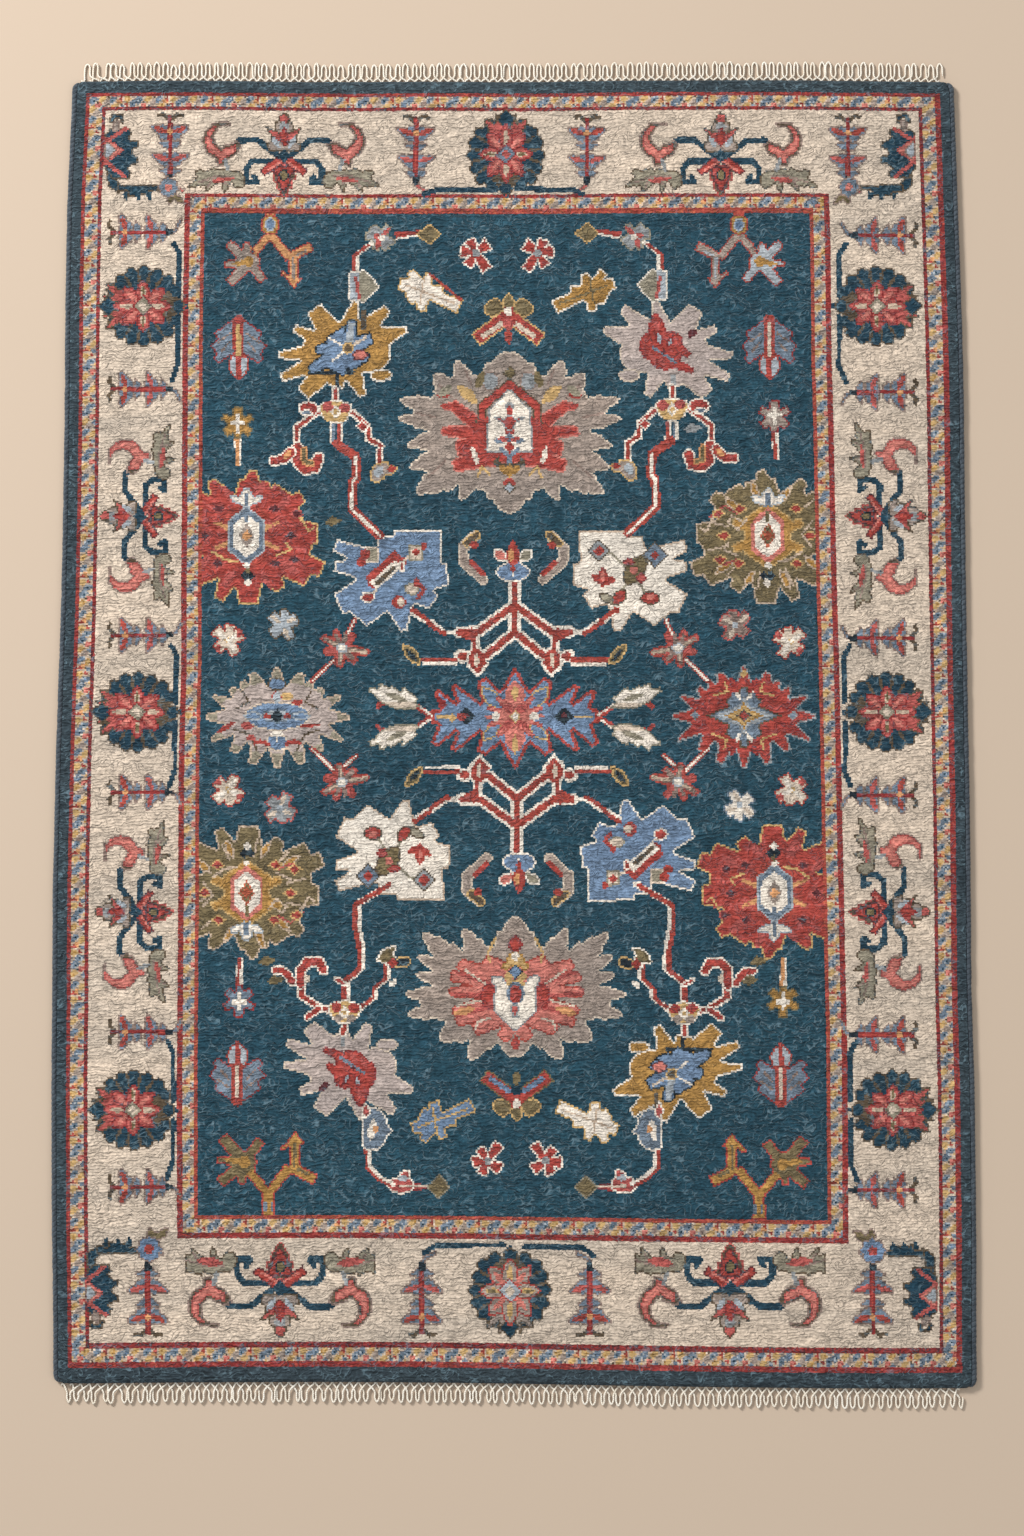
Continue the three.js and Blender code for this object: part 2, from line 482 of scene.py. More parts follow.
# %% Great palmettes
GREAT_PALMETTE = """
greige cream: cushion 0 -2 76 58, toothed 0 20 0 80 106 5 / 38 30 53 71 36 2 / 50 26 75 58 40 3 /
    66 20 110 32 28 3 / 66 8 112 13 24 3 / 66 -6 103 -15 26 3 / 64 -24 100 -37 28 3 /
    48 -34 94 -62 40 4 / 34 -36 49 -69 30 2 / 0 -24 0 -83 84 4
taupe: stroke 2.2 38 46 44 60 / 2.2 58 34 70 46 / 2.2 74 14 94 18 / 2.2 64 -30 82 -46
=fingers: limb 26 2 58 27 15 8 / 24 -2 68 0 15 6 / 20 -10 52 -18 24 13 / 14 -22 55 -35 22 10 /
    0 -10 40 -10 46 20 / 54 25 66 24 6 4
pink +: fingers
red: fingers
red umber: stroke 10 0 47 27 25 29 0
red: oval 0 -3 32 24, limb 26 8 26 -26 18 22
ivory grey: limb 0 -22 0 24 48 42 / 0 20 0 42 44 2 / 0 -16 24 -19 12 4
grey: oval 0 25 5 4
red: limb 0 -4 0 26 11 3
red grey: oval 0 8 6 8, leaf 0 8 15 14 5
slate: diamond 0 -7 6 5, leaf 0 -8 16 -10 6
rose: leaf 0 -9 12 -7 4
red: oval 0 -16 4 5
slate: stroke 4 8 -18 0 -26 0 -34
umber: oval 0 -31 16 7, -oval 0 -28 11 5
mustard: leaf 0 -46 0 -32 9 / 0 -44 10 -34 7
red: diamond 0 -52 8 6
mist umber: diamond 0 -57 7 6
olive umber: diamond 0 58 8 8
grey taupe: oval 19 50 9 10
gold: leaf 32 28 52 46 11
red: oval 66 36 6 3 / 62 25 7 3
olive: oval 29 52 4 9 20
sage: oval 64 40 8 4 -40
ivory: leaf 32 -34 38 -14 6
gold: stroke 2.5 20 -44 28 -36 32 -46
"""
LOW_PALMETTE = """
greige cream: cushion 0 -2 76 42, toothed 0 20 0 80 70 4 / 30 26 52 68 34 3 / 52 26 93 63 34 4 /
    64 24 98 40 24 2 / 66 14 100 22 22 2 / 66 0 111 2 26 3 / 66 -10 108 -19 26 3 /
    40 -20 76 -44 46 3 / 26 -30 46 -64 34 2 / 0 -20 0 -62 70 3
=fingers: limb 10 14 56 32 22 8 / 10 22 30 36 20 10 / 10 6 66 4 16 6 / 10 10 64 20 12 8 /
    10 -4 62 -16 18 7 / 10 -10 58 -26 16 7 / 10 -16 40 -34 22 10 / 0 0 34 0 66 40 / 0 -30 14 -42 18 8
brick +: fingers
pink: fingers
rose: limb 14 8 60 24 5 4 / 20 0 66 2 5 4 / 16 -8 60 -20 5 4
cream: stroke 2.2 30 12 50 26 / 2.2 34 -4 58 -10 / 2.2 26 -22 38 -26 40 -34
orange: leaf 40 -12 62 -18 8
red madder: oval 27 0 8 13
rose: limb 0 -30 24 -4 10 14
ivory grey: limb 0 -16 0 14 44 42 / 0 -15 0 -35 44 2, leaf 10 8 24 20 12
gold: oval 0 12 9 5
slate: oval 0 3 9 11
red: oval 0 2 6 9
rose: diamond 0 2 3 4
rose grey: limb 0 -22 0 -8 7 5 / 0 -13 5 -13 5 5
gold mustard: oval 0 36 9 8, leaf 4 32 14 28 8
ivory: oval 0 40 3 6
blue deep: diamond 0 24 8 8
gold: leaf 2 18 12 20 8
red madder: leaf 0 44 0 62 14 .4
red greige: leaf 0 -36 0 -56 12 .6
gold: stroke 2.2 20 58 27 44 26 34
"""
motif(GREAT_PALMETTE, 509.5, 431, 125, fold=True)
motif(LOW_PALMETTE, 515.5, 996, 125, fold=True)
print("great palmettes")

# %% [markdown]
# The middle of the field holds a long blue medallion of ten petals, with a pink star in its heart
# and a pair of split leaves at either end.

# %% Middle medallion
MEDALLION = """
blue red 2: limb 0 12 0 48 44 3 / 14 4 34 37 34 10 / 38 0 62 31 28 6 / 60 0 79 26 24 6 /
    0 -12 0 -52 44 3 / 14 -4 34 -37 34 10 / 38 0 62 -34 28 6 / 60 0 81 -28 26 8 / 0 0 84 0 30 14
blue gold: leaf 12 6 34 30 14
blue gold: leaf 14 -6 33 -24 12
pink: leaf 0 0 0 36 20 .6 / 0 0 0 -36 20 .6
pink rose: limb 0 0 28 9 12 3 / 0 0 28 -9 12 3 / 0 0 18 20 14 4 / 0 0 18 -20 14 4
rose: leaf 0 2 14 13 7 / 0 -2 14 -13 7
pink: limb 0 0 30 0 7 3
gold: leaf 0 16 0 31 7 / 0 -18 0 -38 6
ivory gold: diamond 0 0 6 7
ivory: oval 19 0 4.5 4
deep: diamond 49 0 10 9
wine: diamond 49 1 4 3
gold: limb 60 0 78 0 3 3
"""
MEDALLION_LEFT_END = """
red: oval -54 0 4.5 4
gold: diamond -63 -1 5 5
madder: oval -72 12 4 4 / -76 17 3 3
"""
MEDALLION_LEAF = """
red: stroke 5.5 0 0 -18 12
ivory: stroke 2 0 1 -18 14
red: stroke 4.5 -18 12 -36 12 -50 14 -55 9
cream sage =leaf_part: leaf -12 9 -60 26 19 .55, limb -18 14 -30 29 12 3 / -32 20 -42 30 10 3 /
    -44 22 -52 33 12 4 / -46 22 -63 27 10 5
ivory: leaf_part*, &above 14
sage: leaf -24 15 -46 23 6.5
"""
motif(MEDALLION, 515, 716.5, 100, fold=True)
motif(MEDALLION_LEFT_END, 515, 716.5, 100)
for across, mirror in ((432, False), (598, True)):
    for flip in (True, False):
        motif(MEDALLION_LEAF, across, 716.5, 80, mirror=mirror, flip=flip)
print("medallion")

# %% [markdown]
# Half-way up each side is a wide toothed flower with a blue or a starry heart.

# %% Side flowers
SIDE_FLOWER = """
yarn edge =body: oval 0 0 54 32, limb 0 20 0 50 26 4 / 14 18 25 43 24 8 / 24 14 35 35 20 6 /
    30 10 46 28 22 6 / 36 6 64 20 20 4 / 34 0 72 -1 26 5 / 36 -6 66 -25 20 4 / 30 -12 44 -36 20 8 /
    14 -18 25 -48 24 8 / 0 -20 0 -53 26 5
tips: body*, -oval 0 -2 60 36
"""
BLUE_EYE = """
umber: stroke 2 34 24 28 14 40 8 / 2 20 -34 28 -18 42 -14
blue cream: oval 0 0 33 15
blue mist: leaf 14 0 34 0 9
mist slate: oval 0 0 16 7
deep: diamond 0 0 7 7
red: leaf 6 0 15 0 5
blue umber: oval 0 32 9 7
red: stroke 4 0 24 4 20
mist: leaf 0 12 0 25 8
blue cream: oval 0 -26 11 9
ivory: limb 0 -17 0 -27 3 2, oval 0 -18 7 2.5
red: stroke 4 9 -28 17 -25 22 -27
"""
LEFT_SPOTS = """
gold: oval 10 20 6 4
red: oval 20 14 5 3, leaf -61 -17 -42 -6 5 / 20 -10 44 -9 3
rose: oval -30 -10 6 4 / -26 -22 5 3
"""
BLUE_STAR = """
gold: stroke 2 20 34 16 24 30 20 / 2 20 -34 17 -24 32 -18
slate umber: limb 0 0 0 28 22 8 / 0 0 15 18 22 9 / 0 0 15 -21 22 9 / 0 0 0 -32 20 8, diamond 0 0 38 16
mist grey: diamond 0 0 30 12 / 0 0 11 20
gold mustard: diamond 0 0 19 9 / 0 0 8 14
red umber: diamond 0 0 8 6
slate: leaf 6 14 12 24 6 / 6 -14 12 -24 6
red madder: leaf 36 8 58 14 7 / 36 -8 58 -16 7
red madder: leaf 8 28 14 38 6 / 8 -30 14 -40 6
ivory: leaf 2 -16 9 -27 4 / 3 16 9 24 4
slate grey: diamond 49 0 5 5
gold: diamond 0 42 4 4
"""
DOVE_WOOL = {"yarn": "dove", "edge": "sand", "tips": "sage"}
RED_WOOL = {"yarn": "red", "edge": "grey", "tips": "red"}
motif(SIDE_FLOWER + BLUE_EYE, 277, 716, 85, DOVE_WOOL, fold=True)
motif(LEFT_SPOTS, 277, 716, 85)
motif(SIDE_FLOWER + BLUE_STAR, 744, 715.5, 85, RED_WOOL, fold=True)
print("side flowers")

# %% [markdown]
# Four palmettes stand half out of the field, where the border cuts them. Fine lines run in from the
# rim, all round, and a hexagon is the heart. Two are red and two olive, with other small leaves.

# %% Cut palmettes
SPOKES = []
for turn in (15, 47, 76, 106, 138, 170, 212, 246, 280, 312, 344):
    x = 62 * math.cos(math.radians(turn))
    y = 54 * math.sin(math.radians(turn))
    SPOKES.append(f"2 {x} {y} {x * 0.68} {y * 0.68}")
CUT_PALMETTE = f"""
yarn edge =body: oval 0 0 46 40, limb 0 20 7 66 44 8 / 4 20 8 56 46 30 / -14 20 -36 56 40 8 /
    14 14 36 48 40 18 / 14 12 56 40 36 12 / 18 10 54 26 38 12 / 10 2 72 2 46 20 / 10 0 66 -10 34 20 /
    14 -12 76 -34 32 16 / 12 -16 62 -44 30 16 / 10 -20 34 -54 34 12 / 2 -20 2 -68 40 20 /
    -6 -18 -28 -64 34 10 / -8 -12 -52 -44 40 18 / -10 0 -62 0 60 30 / -10 8 -58 38 40 22
line &body: stroke {" / ".join(SPOKES)}
ring line &body: leaf 8 30 18 58 8 / -8 30 -24 50 8 / 28 24 44 38 8 / 34 -26 54 -38 8 /
    14 -34 24 -56 8 / -12 -34 -22 -54 8 / -36 -20 -50 -34 8
"""
RED_PARTS = """
brick &body: oval 0 0 28 33
orange rose &body: limb 0 0 34 14 12 6 / 0 0 34 -14 12 6
orange rose &body: limb 0 0 -34 14 12 6 / 0 0 -34 -14 12 6
"""
OLIVE_PARTS = """
mustard gold &body: limb 0 0 35 14 16 9 / 0 0 -35 14 16 9 / 0 0 35 -14 16 9 / 0 0 -35 -14 16 9,
    hexagon 24 34
rose: stroke 2 30 22 44 30 58 18 / 2 32 -24 46 -30
"""
CUT_HEART = """
line: stroke 2 22 16 30 6 40 14 36 20 26 14
edge: stroke 2 54 20 62 4 68 8 / 2.2 30 -20 44 -14 40 -8
jewel jewel_edge &body: diamond 28 27 8 6 / 44 0 8 6 / 29 -28 8 6 / -28 27 8 6 / -42 0 8 6 /
    -29 -28 8 6 / 50 22 8 6 / 48 -24 8 6
line: stroke 2 -44 14 -34 2 -44 -12
edge: stroke 2.5 -34 -16 -22 -24 -10 -26
ivory mist: leaf 0 24 0 49 14 .55 / 0 30 17 40 8 .6 / 0 30 -17 40 8 .6
slate: limb 0 29 0 43 5 5
frame frame_edge: hexagon 18 30
ivory: hexagon 13 22
heart heart_edge: diamond 0 0 8 13
dot: diamond 0 0 5 6
stalk: limb 0 13 0 24 4 4
ivory: diamond 0 -30 4 4
deep: diamond 1 -40 8 8
olive: diamond 1 -35 3 4
ivory: diamond 1 -47 4.5 5
"""
PALMETTE_WOOLS = {
    # word: its wool in the red palmettes, its wool in the olive ones
    "yarn": ("red", "olive"),
    "edge": ("gold", "sand"),
    "ring": ("rose", "mustard"),
    "line": ("rose", "sand"),
    "jewel": ("wine", "brick"),
    "jewel_edge": ("rose", "gold"),
    "frame": ("slate", "pink"),
    "frame_edge": ("mist", "mustard"),
    "heart": ("greige", "olive"),
    "heart_edge": ("greige", "rust"),
    "dot": ("orange", "rust"),
    "stalk": ("slate", "olive"),
}
CUT_PALMETTES = [
    # across, down, mirrored, flipped
    (246.5, 535.5, False, False),
    (768, 535.5, True, False),
    (246.5, 893, False, True),
    (774.5, 893, True, True),
]
for across, down, mirror, flip in CUT_PALMETTES:
    is_olive = mirror != flip
    wools = {word: pair[is_olive] for word, pair in PALMETTE_WOOLS.items()}
    parts = OLIVE_PARTS if is_olive else RED_PARTS
    motif(CUT_PALMETTE + parts + CUT_HEART, across, down, 95, wools, mirror=mirror, flip=flip)
print("cut palmettes")

# %% [markdown]
# Four eight-pointed flowers stand in the quarters of the field, each with its own heart.

# %% Quarter flowers
QUARTER_FLOWER = """
yarn edge: limb 0 0 -29 42 34 17 / 0 0 -49 22 24 8 / 0 0 -65 -5 30 7 / 0 0 -62 -28 30 8 /
    0 0 -40 -44 34 15 / 0 0 -8 -37 30 16 / 0 0 20 -46 34 8 / 0 0 64 21 46 7 / 0 0 45 42 36 9 /
    0 0 13 50 36 6, oval 26 -3 22 20 / -8 0 34 24
yarn edge: oval 38 -25 11 6.5
"""
BLUE_HEART = """
=flower: limb 5 2 9 29 11 8 / 5 2 -5 19 18 12 / 5 2 -26 1 18 7 / 5 2 -15 12 12 8 / 0 0 -32 -20 20 7 /
    2 0 -8 -21 22 18 / 5 2 13 -17 16 12 / 5 2 28 12 18 9 / 5 2 24 -9 16 9
deep +: flower
deep: stroke 4 -34 -23 10 -22, limb -6 -22 -6 -37 5 5
blue: flower
mist: limb 5 2 9 28 8 6
pink wine: oval 17 -5 8 6
ivory: stroke 2.4 5 2 -14 12 / 2.4 5 2 -11 -11
cream: stroke 2.6 5 2 23 13
gold: oval 5 2 6 6
umber: oval 5 2 4 4
umber: limb 21 20 21 40 4.5 4.5
"""
RED_HEART = """
red madder: oval 17 4 11 14 / -4 7 12 12 / 2 -8 16 12, leaf 10 8 12 38 18 .4,
    limb -4 -12 -26 -21 12 6 / -8 4 -22 -6 12 6
mist madder: leaf 6 3 10 19 7 / 0 2 -6 15 6
slate: stroke 2.8 15 3 4 -4 -9 -13
rose: leaf 12 -14 18 -1 5 / 8 -6 2 -18 5
rose: leaf 10 18 12 30 5
wine: diamond 4 -2 3 3
wine: oval -25 17 6 3.5 -40
grey: limb -6 -24 -6 -36 5 4
"""
GOLDEN = {"yarn": "mustard", "edge": "ivory"}
DOVE_GREY = {"yarn": "dove", "edge": "cream"}
motif(QUARTER_FLOWER + BLUE_HEART, 343, 350, 80, GOLDEN)
motif(QUARTER_FLOWER + RED_HEART, 667.5, 350, 80, DOVE_GREY, mirror=True)
motif(QUARTER_FLOWER + RED_HEART, 349, 1070, 80, DOVE_GREY, flip=True)
motif(QUARTER_FLOWER + BLUE_HEART, 677, 1072, 80, GOLDEN, mirror=True, flip=True)
print("quarter flowers")

# %% [markdown]
# Beside the anchor-shaped branches stand four broad flowers, two of them blue and two ivory.

# %% Broad flowers
BROAD_FLOWER = """
yarn edge: limb 26 0 26 48 46 48 / 0 5 -2 42 40 24 / 0 10 -57 33 28 12 / 0 6 -58 12 34 10 /
    0 -2 -54 -26 40 22 / -10 -14 -34 -41 40 22 / 4 -10 12 -53 44 7 / 10 0 56 4 44 22 /
    12 -6 42 -24 34 16, oval 0 0 38 34
"""
CHAIN_HEART = """
red: limb -22 -5 8 22 15 15, oval -18 -4 7 6 / 6 16 8 6
ivory: limb -19 -8 7 15 10 10
umber: limb -16 -6 3 11 4.5 4.5
brick ivory: oval 10 12 3.5 6
cream: stroke 2.5 -16 -12 -22 -17 / 2.5 12 18 20 24
red ivory: oval -24 -19 7 6
cream sage: limb 24 18 24 33 15 15
red: diamond 24 26 5 5, oval 32 32 3 4
sage cream: limb -20 16 -20 31 14 12
red: oval -27 24 5 5 / -31 16 5 4
red: oval 7 -24 7 7
cream: oval 9 -24 4 4
cream sage: oval 20 -11 8 6
red: oval 24 -4 3 4, stroke 4 26 -6 32 -12 26 -20
"""
POSY_HEART = """
sage: stroke 3 -27 23 -14 14 -6 8 / 3 30 27 16 24 4 12 / 2.5 -20 -18 -8 -4 / 2.5 14 -22 2 -4
olive umber: oval -6 8 10 17 35
rose madder: oval -12 0 5 5 / 0 16 6 4
pink: oval -5 8 4 4
slate umber: diamond -26 23 13 13
red: diamond -26 23 5 5
grey umber: diamond 30 27 12 12
red: diamond 30 27 6 6
red brick: leaf 26 -10 26 12 10 / 22 -6 38 3 8 / 28 -6 13 0 8
pink: leaf 26 -4 26 8 4
sage umber: leaf 12 -26 31 -15 10
red umber: leaf 16 -27 3 -11 13
red umber: oval -21 -20 10 7
pink: oval -21 -19 4 3
"""
BLUE_WOOL = {"yarn": "blue", "edge": "ivory"}
IVORY_WOOL = {"yarn": "ivory", "edge": "sand"}
motif(BROAD_FLOWER + CHAIN_HEART, 392, 578, 75, BLUE_WOOL)
motif(BROAD_FLOWER + POSY_HEART, 629, 578, 75, IVORY_WOOL, mirror=True)
motif(BROAD_FLOWER + POSY_HEART, 394, 853, 75, IVORY_WOOL, flip=True)
motif(BROAD_FLOWER + CHAIN_HEART, 637, 853, 75, BLUE_WOOL, mirror=True, flip=True)
print("broad flowers")

# %% [markdown]
# Red stems tie the flowers together. Every stem is a red line with an ivory edge or an ivory side,
# and the anchor-shaped branches above and below the medallion are the same line, only broader. A
# stem or a two-sided stem has its own word in a talim, in the place of a yarn.

# %% Stems and branches
ANCHOR = """
ivory: oval 38 -51 11 13 / 53 -47 8 7, diamond 37 -55 12 14, stroke 12 0 28 0 4 0 -25 /
    12 0 4 37 -23 55 -23 / 12 0 -23 28 -46 / 9 40 -26 40 -44
brick: oval 38 -50 8 10 / 52 -47 5 4, diamond 37 -54 9 11, stroke 6.6 0 28 0 4 0 -25 /
    6.6 0 4 37 -23 55 -23 / 6.6 0 -23 28 -46 / 4.5 40 -26 40 -44, limb 40 -32 48 -22 4 16
cream: leaf 38 -59 38 -43 5
brick: limb 57 -50.5 95 -50.5 4 4
ivory: limb 57 -54.5 92 -54.5 3.6 3.6
olive gold: leaf 94 -56 112 -35 12
deep: leaf 98 -52 108 -40 5
ivory: limb 58 -23 71 -23 4 4
brick: stroke 6 70 -24 86 -13 102 -1
ivory: stroke 2.5 70 -21 84 -11 / 2.5 90 -13 103 -4
"""
BLUE_CUP = """
blue ivory: oval 0 -8 17 10 / 0 -2 8 10
pink ivory: leaf -4 2 -20 14 12 .6
sage ivory: leaf 4 2 20 14 12 .6
red brick: leaf 0 -2 0 24 13 .4
orange: oval -2 9 2.5 6
red: diamond 0 -5 3 5
ivory: limb 0 -12 0 -9 2.5 2.5
"""
BENT_LEAF = """
greige cream: stroke 11 -8 24 -20 13 -20 -1 0 -19
umber gold: stroke 9 -6 25 -16 17
red: stroke 5 -12 -2 0 -14
red: oval -9 15 4 4
"""
motif(ANCHOR, 514.5, 609, 135, fold=True)
motif(ANCHOR, 517, 822, 135, fold=True, flip=True)
motif(BLUE_CUP, 513, 564, 40)
motif(BLUE_CUP, 519, 870, 40, flip=True)
motif(BENT_LEAF, 483, 560, 45)
motif(BENT_LEAF, 543, 560, 45, mirror=True)
motif(BENT_LEAF, 487, 877, 45, flip=True)
motif(BENT_LEAF, 549, 877, 45, mirror=True, flip=True)
print("anchor branches")

# %% Side branches
CALYX = """
gold ivory: oval 0 0 15 12 / -10 3 7 7 / 10 3 7 7
berry: oval -8 5 5.5 5 / 9 4 6 5
foot: oval -6 -6 5 4 / 6 -6 5 4
ivory: diamond 0 0 6 7
gold: diamond 0 0 3 3
"""
UPPER_BRANCHES = """
stem: 3.5 0 22 0 8
ivory: limb -4 -12 -4 -31 5 5
slate: limb -2 -12 -2 -31 3 3
ivory: limb 4 -12 4 -31 6 6
brick: limb 4 -12 4 -31 3 3
brick: stroke 9 1 -32 20 -45 21 -66 17 -70 16 -97 44 -124
ivory: stroke 2.8 20 -45 21 -66 17 -70 16 -97 44 -124
stem: 4 -15 1 -22 -3 -39 -16 -39 -34
red ivory: oval -27 3 11 8
slate ivory: oval -29 -1 6 3.5
stem: 3.6 16 0 32 -14 33 -27 45 -34 44 -50
red ivory: diamond 27 -15 7 7
red ivory: stroke 12 -38 -36 -38 -50 -30 -58 -20 -56 -17 -46
olive orange: stroke 7 -31 -38 -31 -50 -24 -52
red ivory: stroke 11 -44 -40 -52 -48 -62 -49
orange: oval -48 -43 5 3 45
greige gold: leaf 36 -70 52 -50 16 / 44 -62 62 -56 10 .6, oval 41 -64 6 8
mist: oval 43 -60 4 6 -30
red: oval 56 -57 4 3
"""
LOWER_BRANCHES = """
stem: 4 0 -6 -1 -22
two_sided: 6.5 0 8 0 30 16 44 16 64 12 84 12 108 46 128
red ivory: stroke 6 -8 33 0 28
two_sided: 5 13 2 30 15 30 24 42 34 41 49
ivory: oval 48 29 5 3 35
olive ivory: leaf 32 50 52 66 12, oval 42 54 9 6
deep gold: oval 58 50 9 6 20
red: diamond 48 49 6 6
stem: 4.5 -10 1 -24 4 -43 16 -43 27
red ivory: stroke 8 -26 3 -37 -5
red ivory: stroke 11 -44 28 -44 42 -36 51 -25 50 -21 42
red ivory: stroke 9 -52 30 -60 41 -69 42
cream: oval -37 34 3 4
"""
ROSE_CALYX = {"berry": "rose", "foot": "gold"}
RED_CALYX = {"berry": "red", "foot": "greige"}
motif(UPPER_BRANCHES + CALYX, 335.5, 411.5, 135, ROSE_CALYX)
motif(UPPER_BRANCHES + CALYX, 672, 409, 135, ROSE_CALYX, mirror=True)
motif(LOWER_BRANCHES + CALYX, 344.5, 1012, 150, RED_CALYX)
motif(LOWER_BRANCHES + CALYX, 684, 1013, 150, RED_CALYX, mirror=True)
print("side branches")

# %% [markdown]
# Small things fill the ground between: tulips, stars, leaves, five-petalled flowers and florets.

# %% Tulips and star flowers
TULIP = """
slate madder: limb 2 6 22 17 16 10 / 2 13 26 29 18 9 / 2 20 23 41 20 8
taupe: stroke 1.9 8 13 20 22 / 1.9 9 22 17 31
mist brick: leaf 0 28 0 59 22 .55
red: limb 0 36 0 60 6 4
red brick: limb 0 0 0 38 11 11, oval 0 1 6 6
core: limb 0 3 0 36 4 4
"""
STAR_FLOWER = """
ivory: limb 0 -14 foot_x -42 7 6
stalk: limb -1 -14 stalk_x -42 4 3
yarn edge: limb 0 0 0 18 12 9 / 0 0 15 8 11 8 / 0 0 -15 8 11 8 / 0 0 13 -9 11 9 / 0 0 -13 -9 11 9 /
    0 0 0 -15 10 8
ivory: limb 0 -9 0 10 3.5 3.5 / -7 2 7 2 4 4
"""
STRAIGHT_STAR = STAR_FLOWER.replace("foot_x", "1").replace("stalk_x", "0")
LEANING_STAR = STAR_FLOWER.replace("foot_x", "2").replace("stalk_x", "1")
GOLDEN_STAR = {"yarn": "mustard", "edge": "olive", "stalk": "orange"}
motif(TULIP, 237.5, 1101, 66, {"core": "cream"}, fold=True)
motif(TULIP, 781, 1103, 66, {"core": "cream"}, fold=True)
motif(TULIP, 238.5, 320, 66, {"core": "gold"}, fold=True, flip=True)
motif(TULIP, 769.5, 320, 66, {"core": "cream"}, fold=True, flip=True)
motif(STRAIGHT_STAR, 237.6, 424, 60, GOLDEN_STAR)
motif(LEANING_STAR, 774.5, 417, 60, {"yarn": "greige", "edge": "madder", "stalk": "brick"})
motif(STRAIGHT_STAR, 239, 1000, 60, {"yarn": "slate", "edge": "madder", "stalk": "brick"}, flip=True)
motif(STRAIGHT_STAR, 783, 1000, 60, GOLDEN_STAR, flip=True)
print("tulips and star flowers")

# %% Five-petalled flowers, trefoils and lobed leaves
FIVE_PETALS = """
=petals: limb 2 3 11 16 6 10 / -2 3 -8 12 5 9 / -3 -1 -15 -2 5 11 / -2 -3 -6 -13 5 10 / 3 -3 12 -9 6 12
ivory +: petals
ivory: oval 0 0 6 6
red: petals
grey: oval 0 0 4 4
"""
TREFOIL = """
olive gold: leaf 2 -14 22 -20 17 .6, oval 16 -15 9 8
olive gold: leaf 0 -6 0 -31 13 .6
red rim: limb 0 -9 33 16 15 15
wing: limb 6 -1 27 13 5 5
bud: diamond 0 0 7 8
tail: leaf 0 5 0 20 8
red: limb 0 -17 0 -4 9 9
ivory: oval 0 -13 4 5
"""
LOBED_LEAF = """
yarn edge: limb 0 0 -25 8 20 12 / 0 0 -14 20 14 9 / 0 0 6 18 16 8 / 0 0 -3 -20 16 10 /
    0 0 -16 -10 14 10 / 0 0 36 -16 12 15 / 0 0 20 0 14 12, oval -4 0 16 13
vein: stroke 2 -18 6 0 -1 30 -12 / 2 0 12 -4 -12
"""
IVORY_LEAF = {"yarn": "ivory", "edge": "gold", "vein": "sand"}
motif(FIVE_PETALS, 476, 253, 30, flip=True)
motif(FIVE_PETALS, 537.5, 253, 30, mirror=True, flip=True)
motif(FIVE_PETALS, 488, 1160.5, 30)
motif(FIVE_PETALS, 545.5, 1160.5, 30, mirror=True)
CREAM_WINGS = {"rim": "gold", "wing": "cream", "bud": "rose", "tail": "brick"}
BLUE_WINGS = {"rim": "olive", "wing": "blue", "bud": "ink", "tail": "olive"}
motif(TREFOIL, 508.5, 324, 60, CREAM_WINGS, fold=True, flip=True)
motif(TREFOIL, 516.5, 1091, 60, BLUE_WINGS, fold=True)
motif(LOBED_LEAF + "brick: stroke 3 6 17 24 2 36 -8", 424, 291, 55, IVORY_LEAF)
motif(LOBED_LEAF, 590, 291, 55, {"yarn": "mustard", "edge": "ivory", "vein": "olive"}, mirror=True)
motif(LOBED_LEAF, 437, 1121, 55, {"yarn": "blue", "edge": "gold", "vein": "gold"}, flip=True)
motif(LOBED_LEAF, 593, 1122, 55, IVORY_LEAF, mirror=True, flip=True)
print("five-petalled flowers, trefoils and lobed leaves")

# %% Ends of the branches
ROSETTE_BRANCH = """
two_sided: 4.5 -11 -6 -26 -17 -26 -33
ivory: limb 14 2 40 5 8 4
red: limb 14 3 40 6.5 6 3
grey sage: limb 0 0 8 13 10 7 / 0 0 -9 12 12 10 / 0 0 -16 3 11 9 / 0 0 14 -5 12 7 / 0 0 6 -12 10 7 /
    0 0 -6 -12 10 7
rose: leaf 0 0 9 11 5 / 0 0 -8 3 6 / 0 0 -5 -11 6
ivory: oval 1 0 3.5 3
olive gold: diamond 48 4 13 11
sage ivory =hood: oval -24 -48 16 16, diamond -18 -48 17 18, &beyond -33
mist: hood*, &short_of -21
rose: stroke 3.5 -25 -40 -22 -60
"""
BRANCH_END = """
rose madder: limb 0 0 32 0 10 4
rose ivory: oval 2 2 14 9, leaf 0 2 10 18 12
cream: limb 0 1 30 0 3 2
mist: oval 4 9 5 3
olive sage: diamond 40 0 12 13
"""
SPRAY = """
=star: limb -24 54 -46 79 15 11 / -24 54 -7 76 13 10 / -24 54 -52 57 14 7 / -24 54 -48 33 14 11 /
    -24 54 -27 32 13 8, oval -24 54 13 12
yarn edge: star, limb 0 -2 0 26 14 12 / 0 22 -18 44 10 10 / 0 22 22 50 10 11 / 27 44 27 76 12 11 /
    27 72 27 84 20 2, stroke 5 24 74 14 67, limb 24 48 48 36 11 12
heart: star*
mustard: oval -24 54 6 6, leaf -24 54 -44 57 6
heart: stroke 3 26 50 27 72 / 3 30 47 40 42
slate: limb -3 4 -3 14 3 3 / 4 4 4 14 3 3
"""
SPRAY_BUD = """
mustard edge: oval 0 12 11 12
blue mist: oval 0 12 6 8
"""
for across, down, mirror in ((381, 238, False), (635, 237, True)):
    motif(ROSETTE_BRANCH, across, down, 75, mirror=mirror)
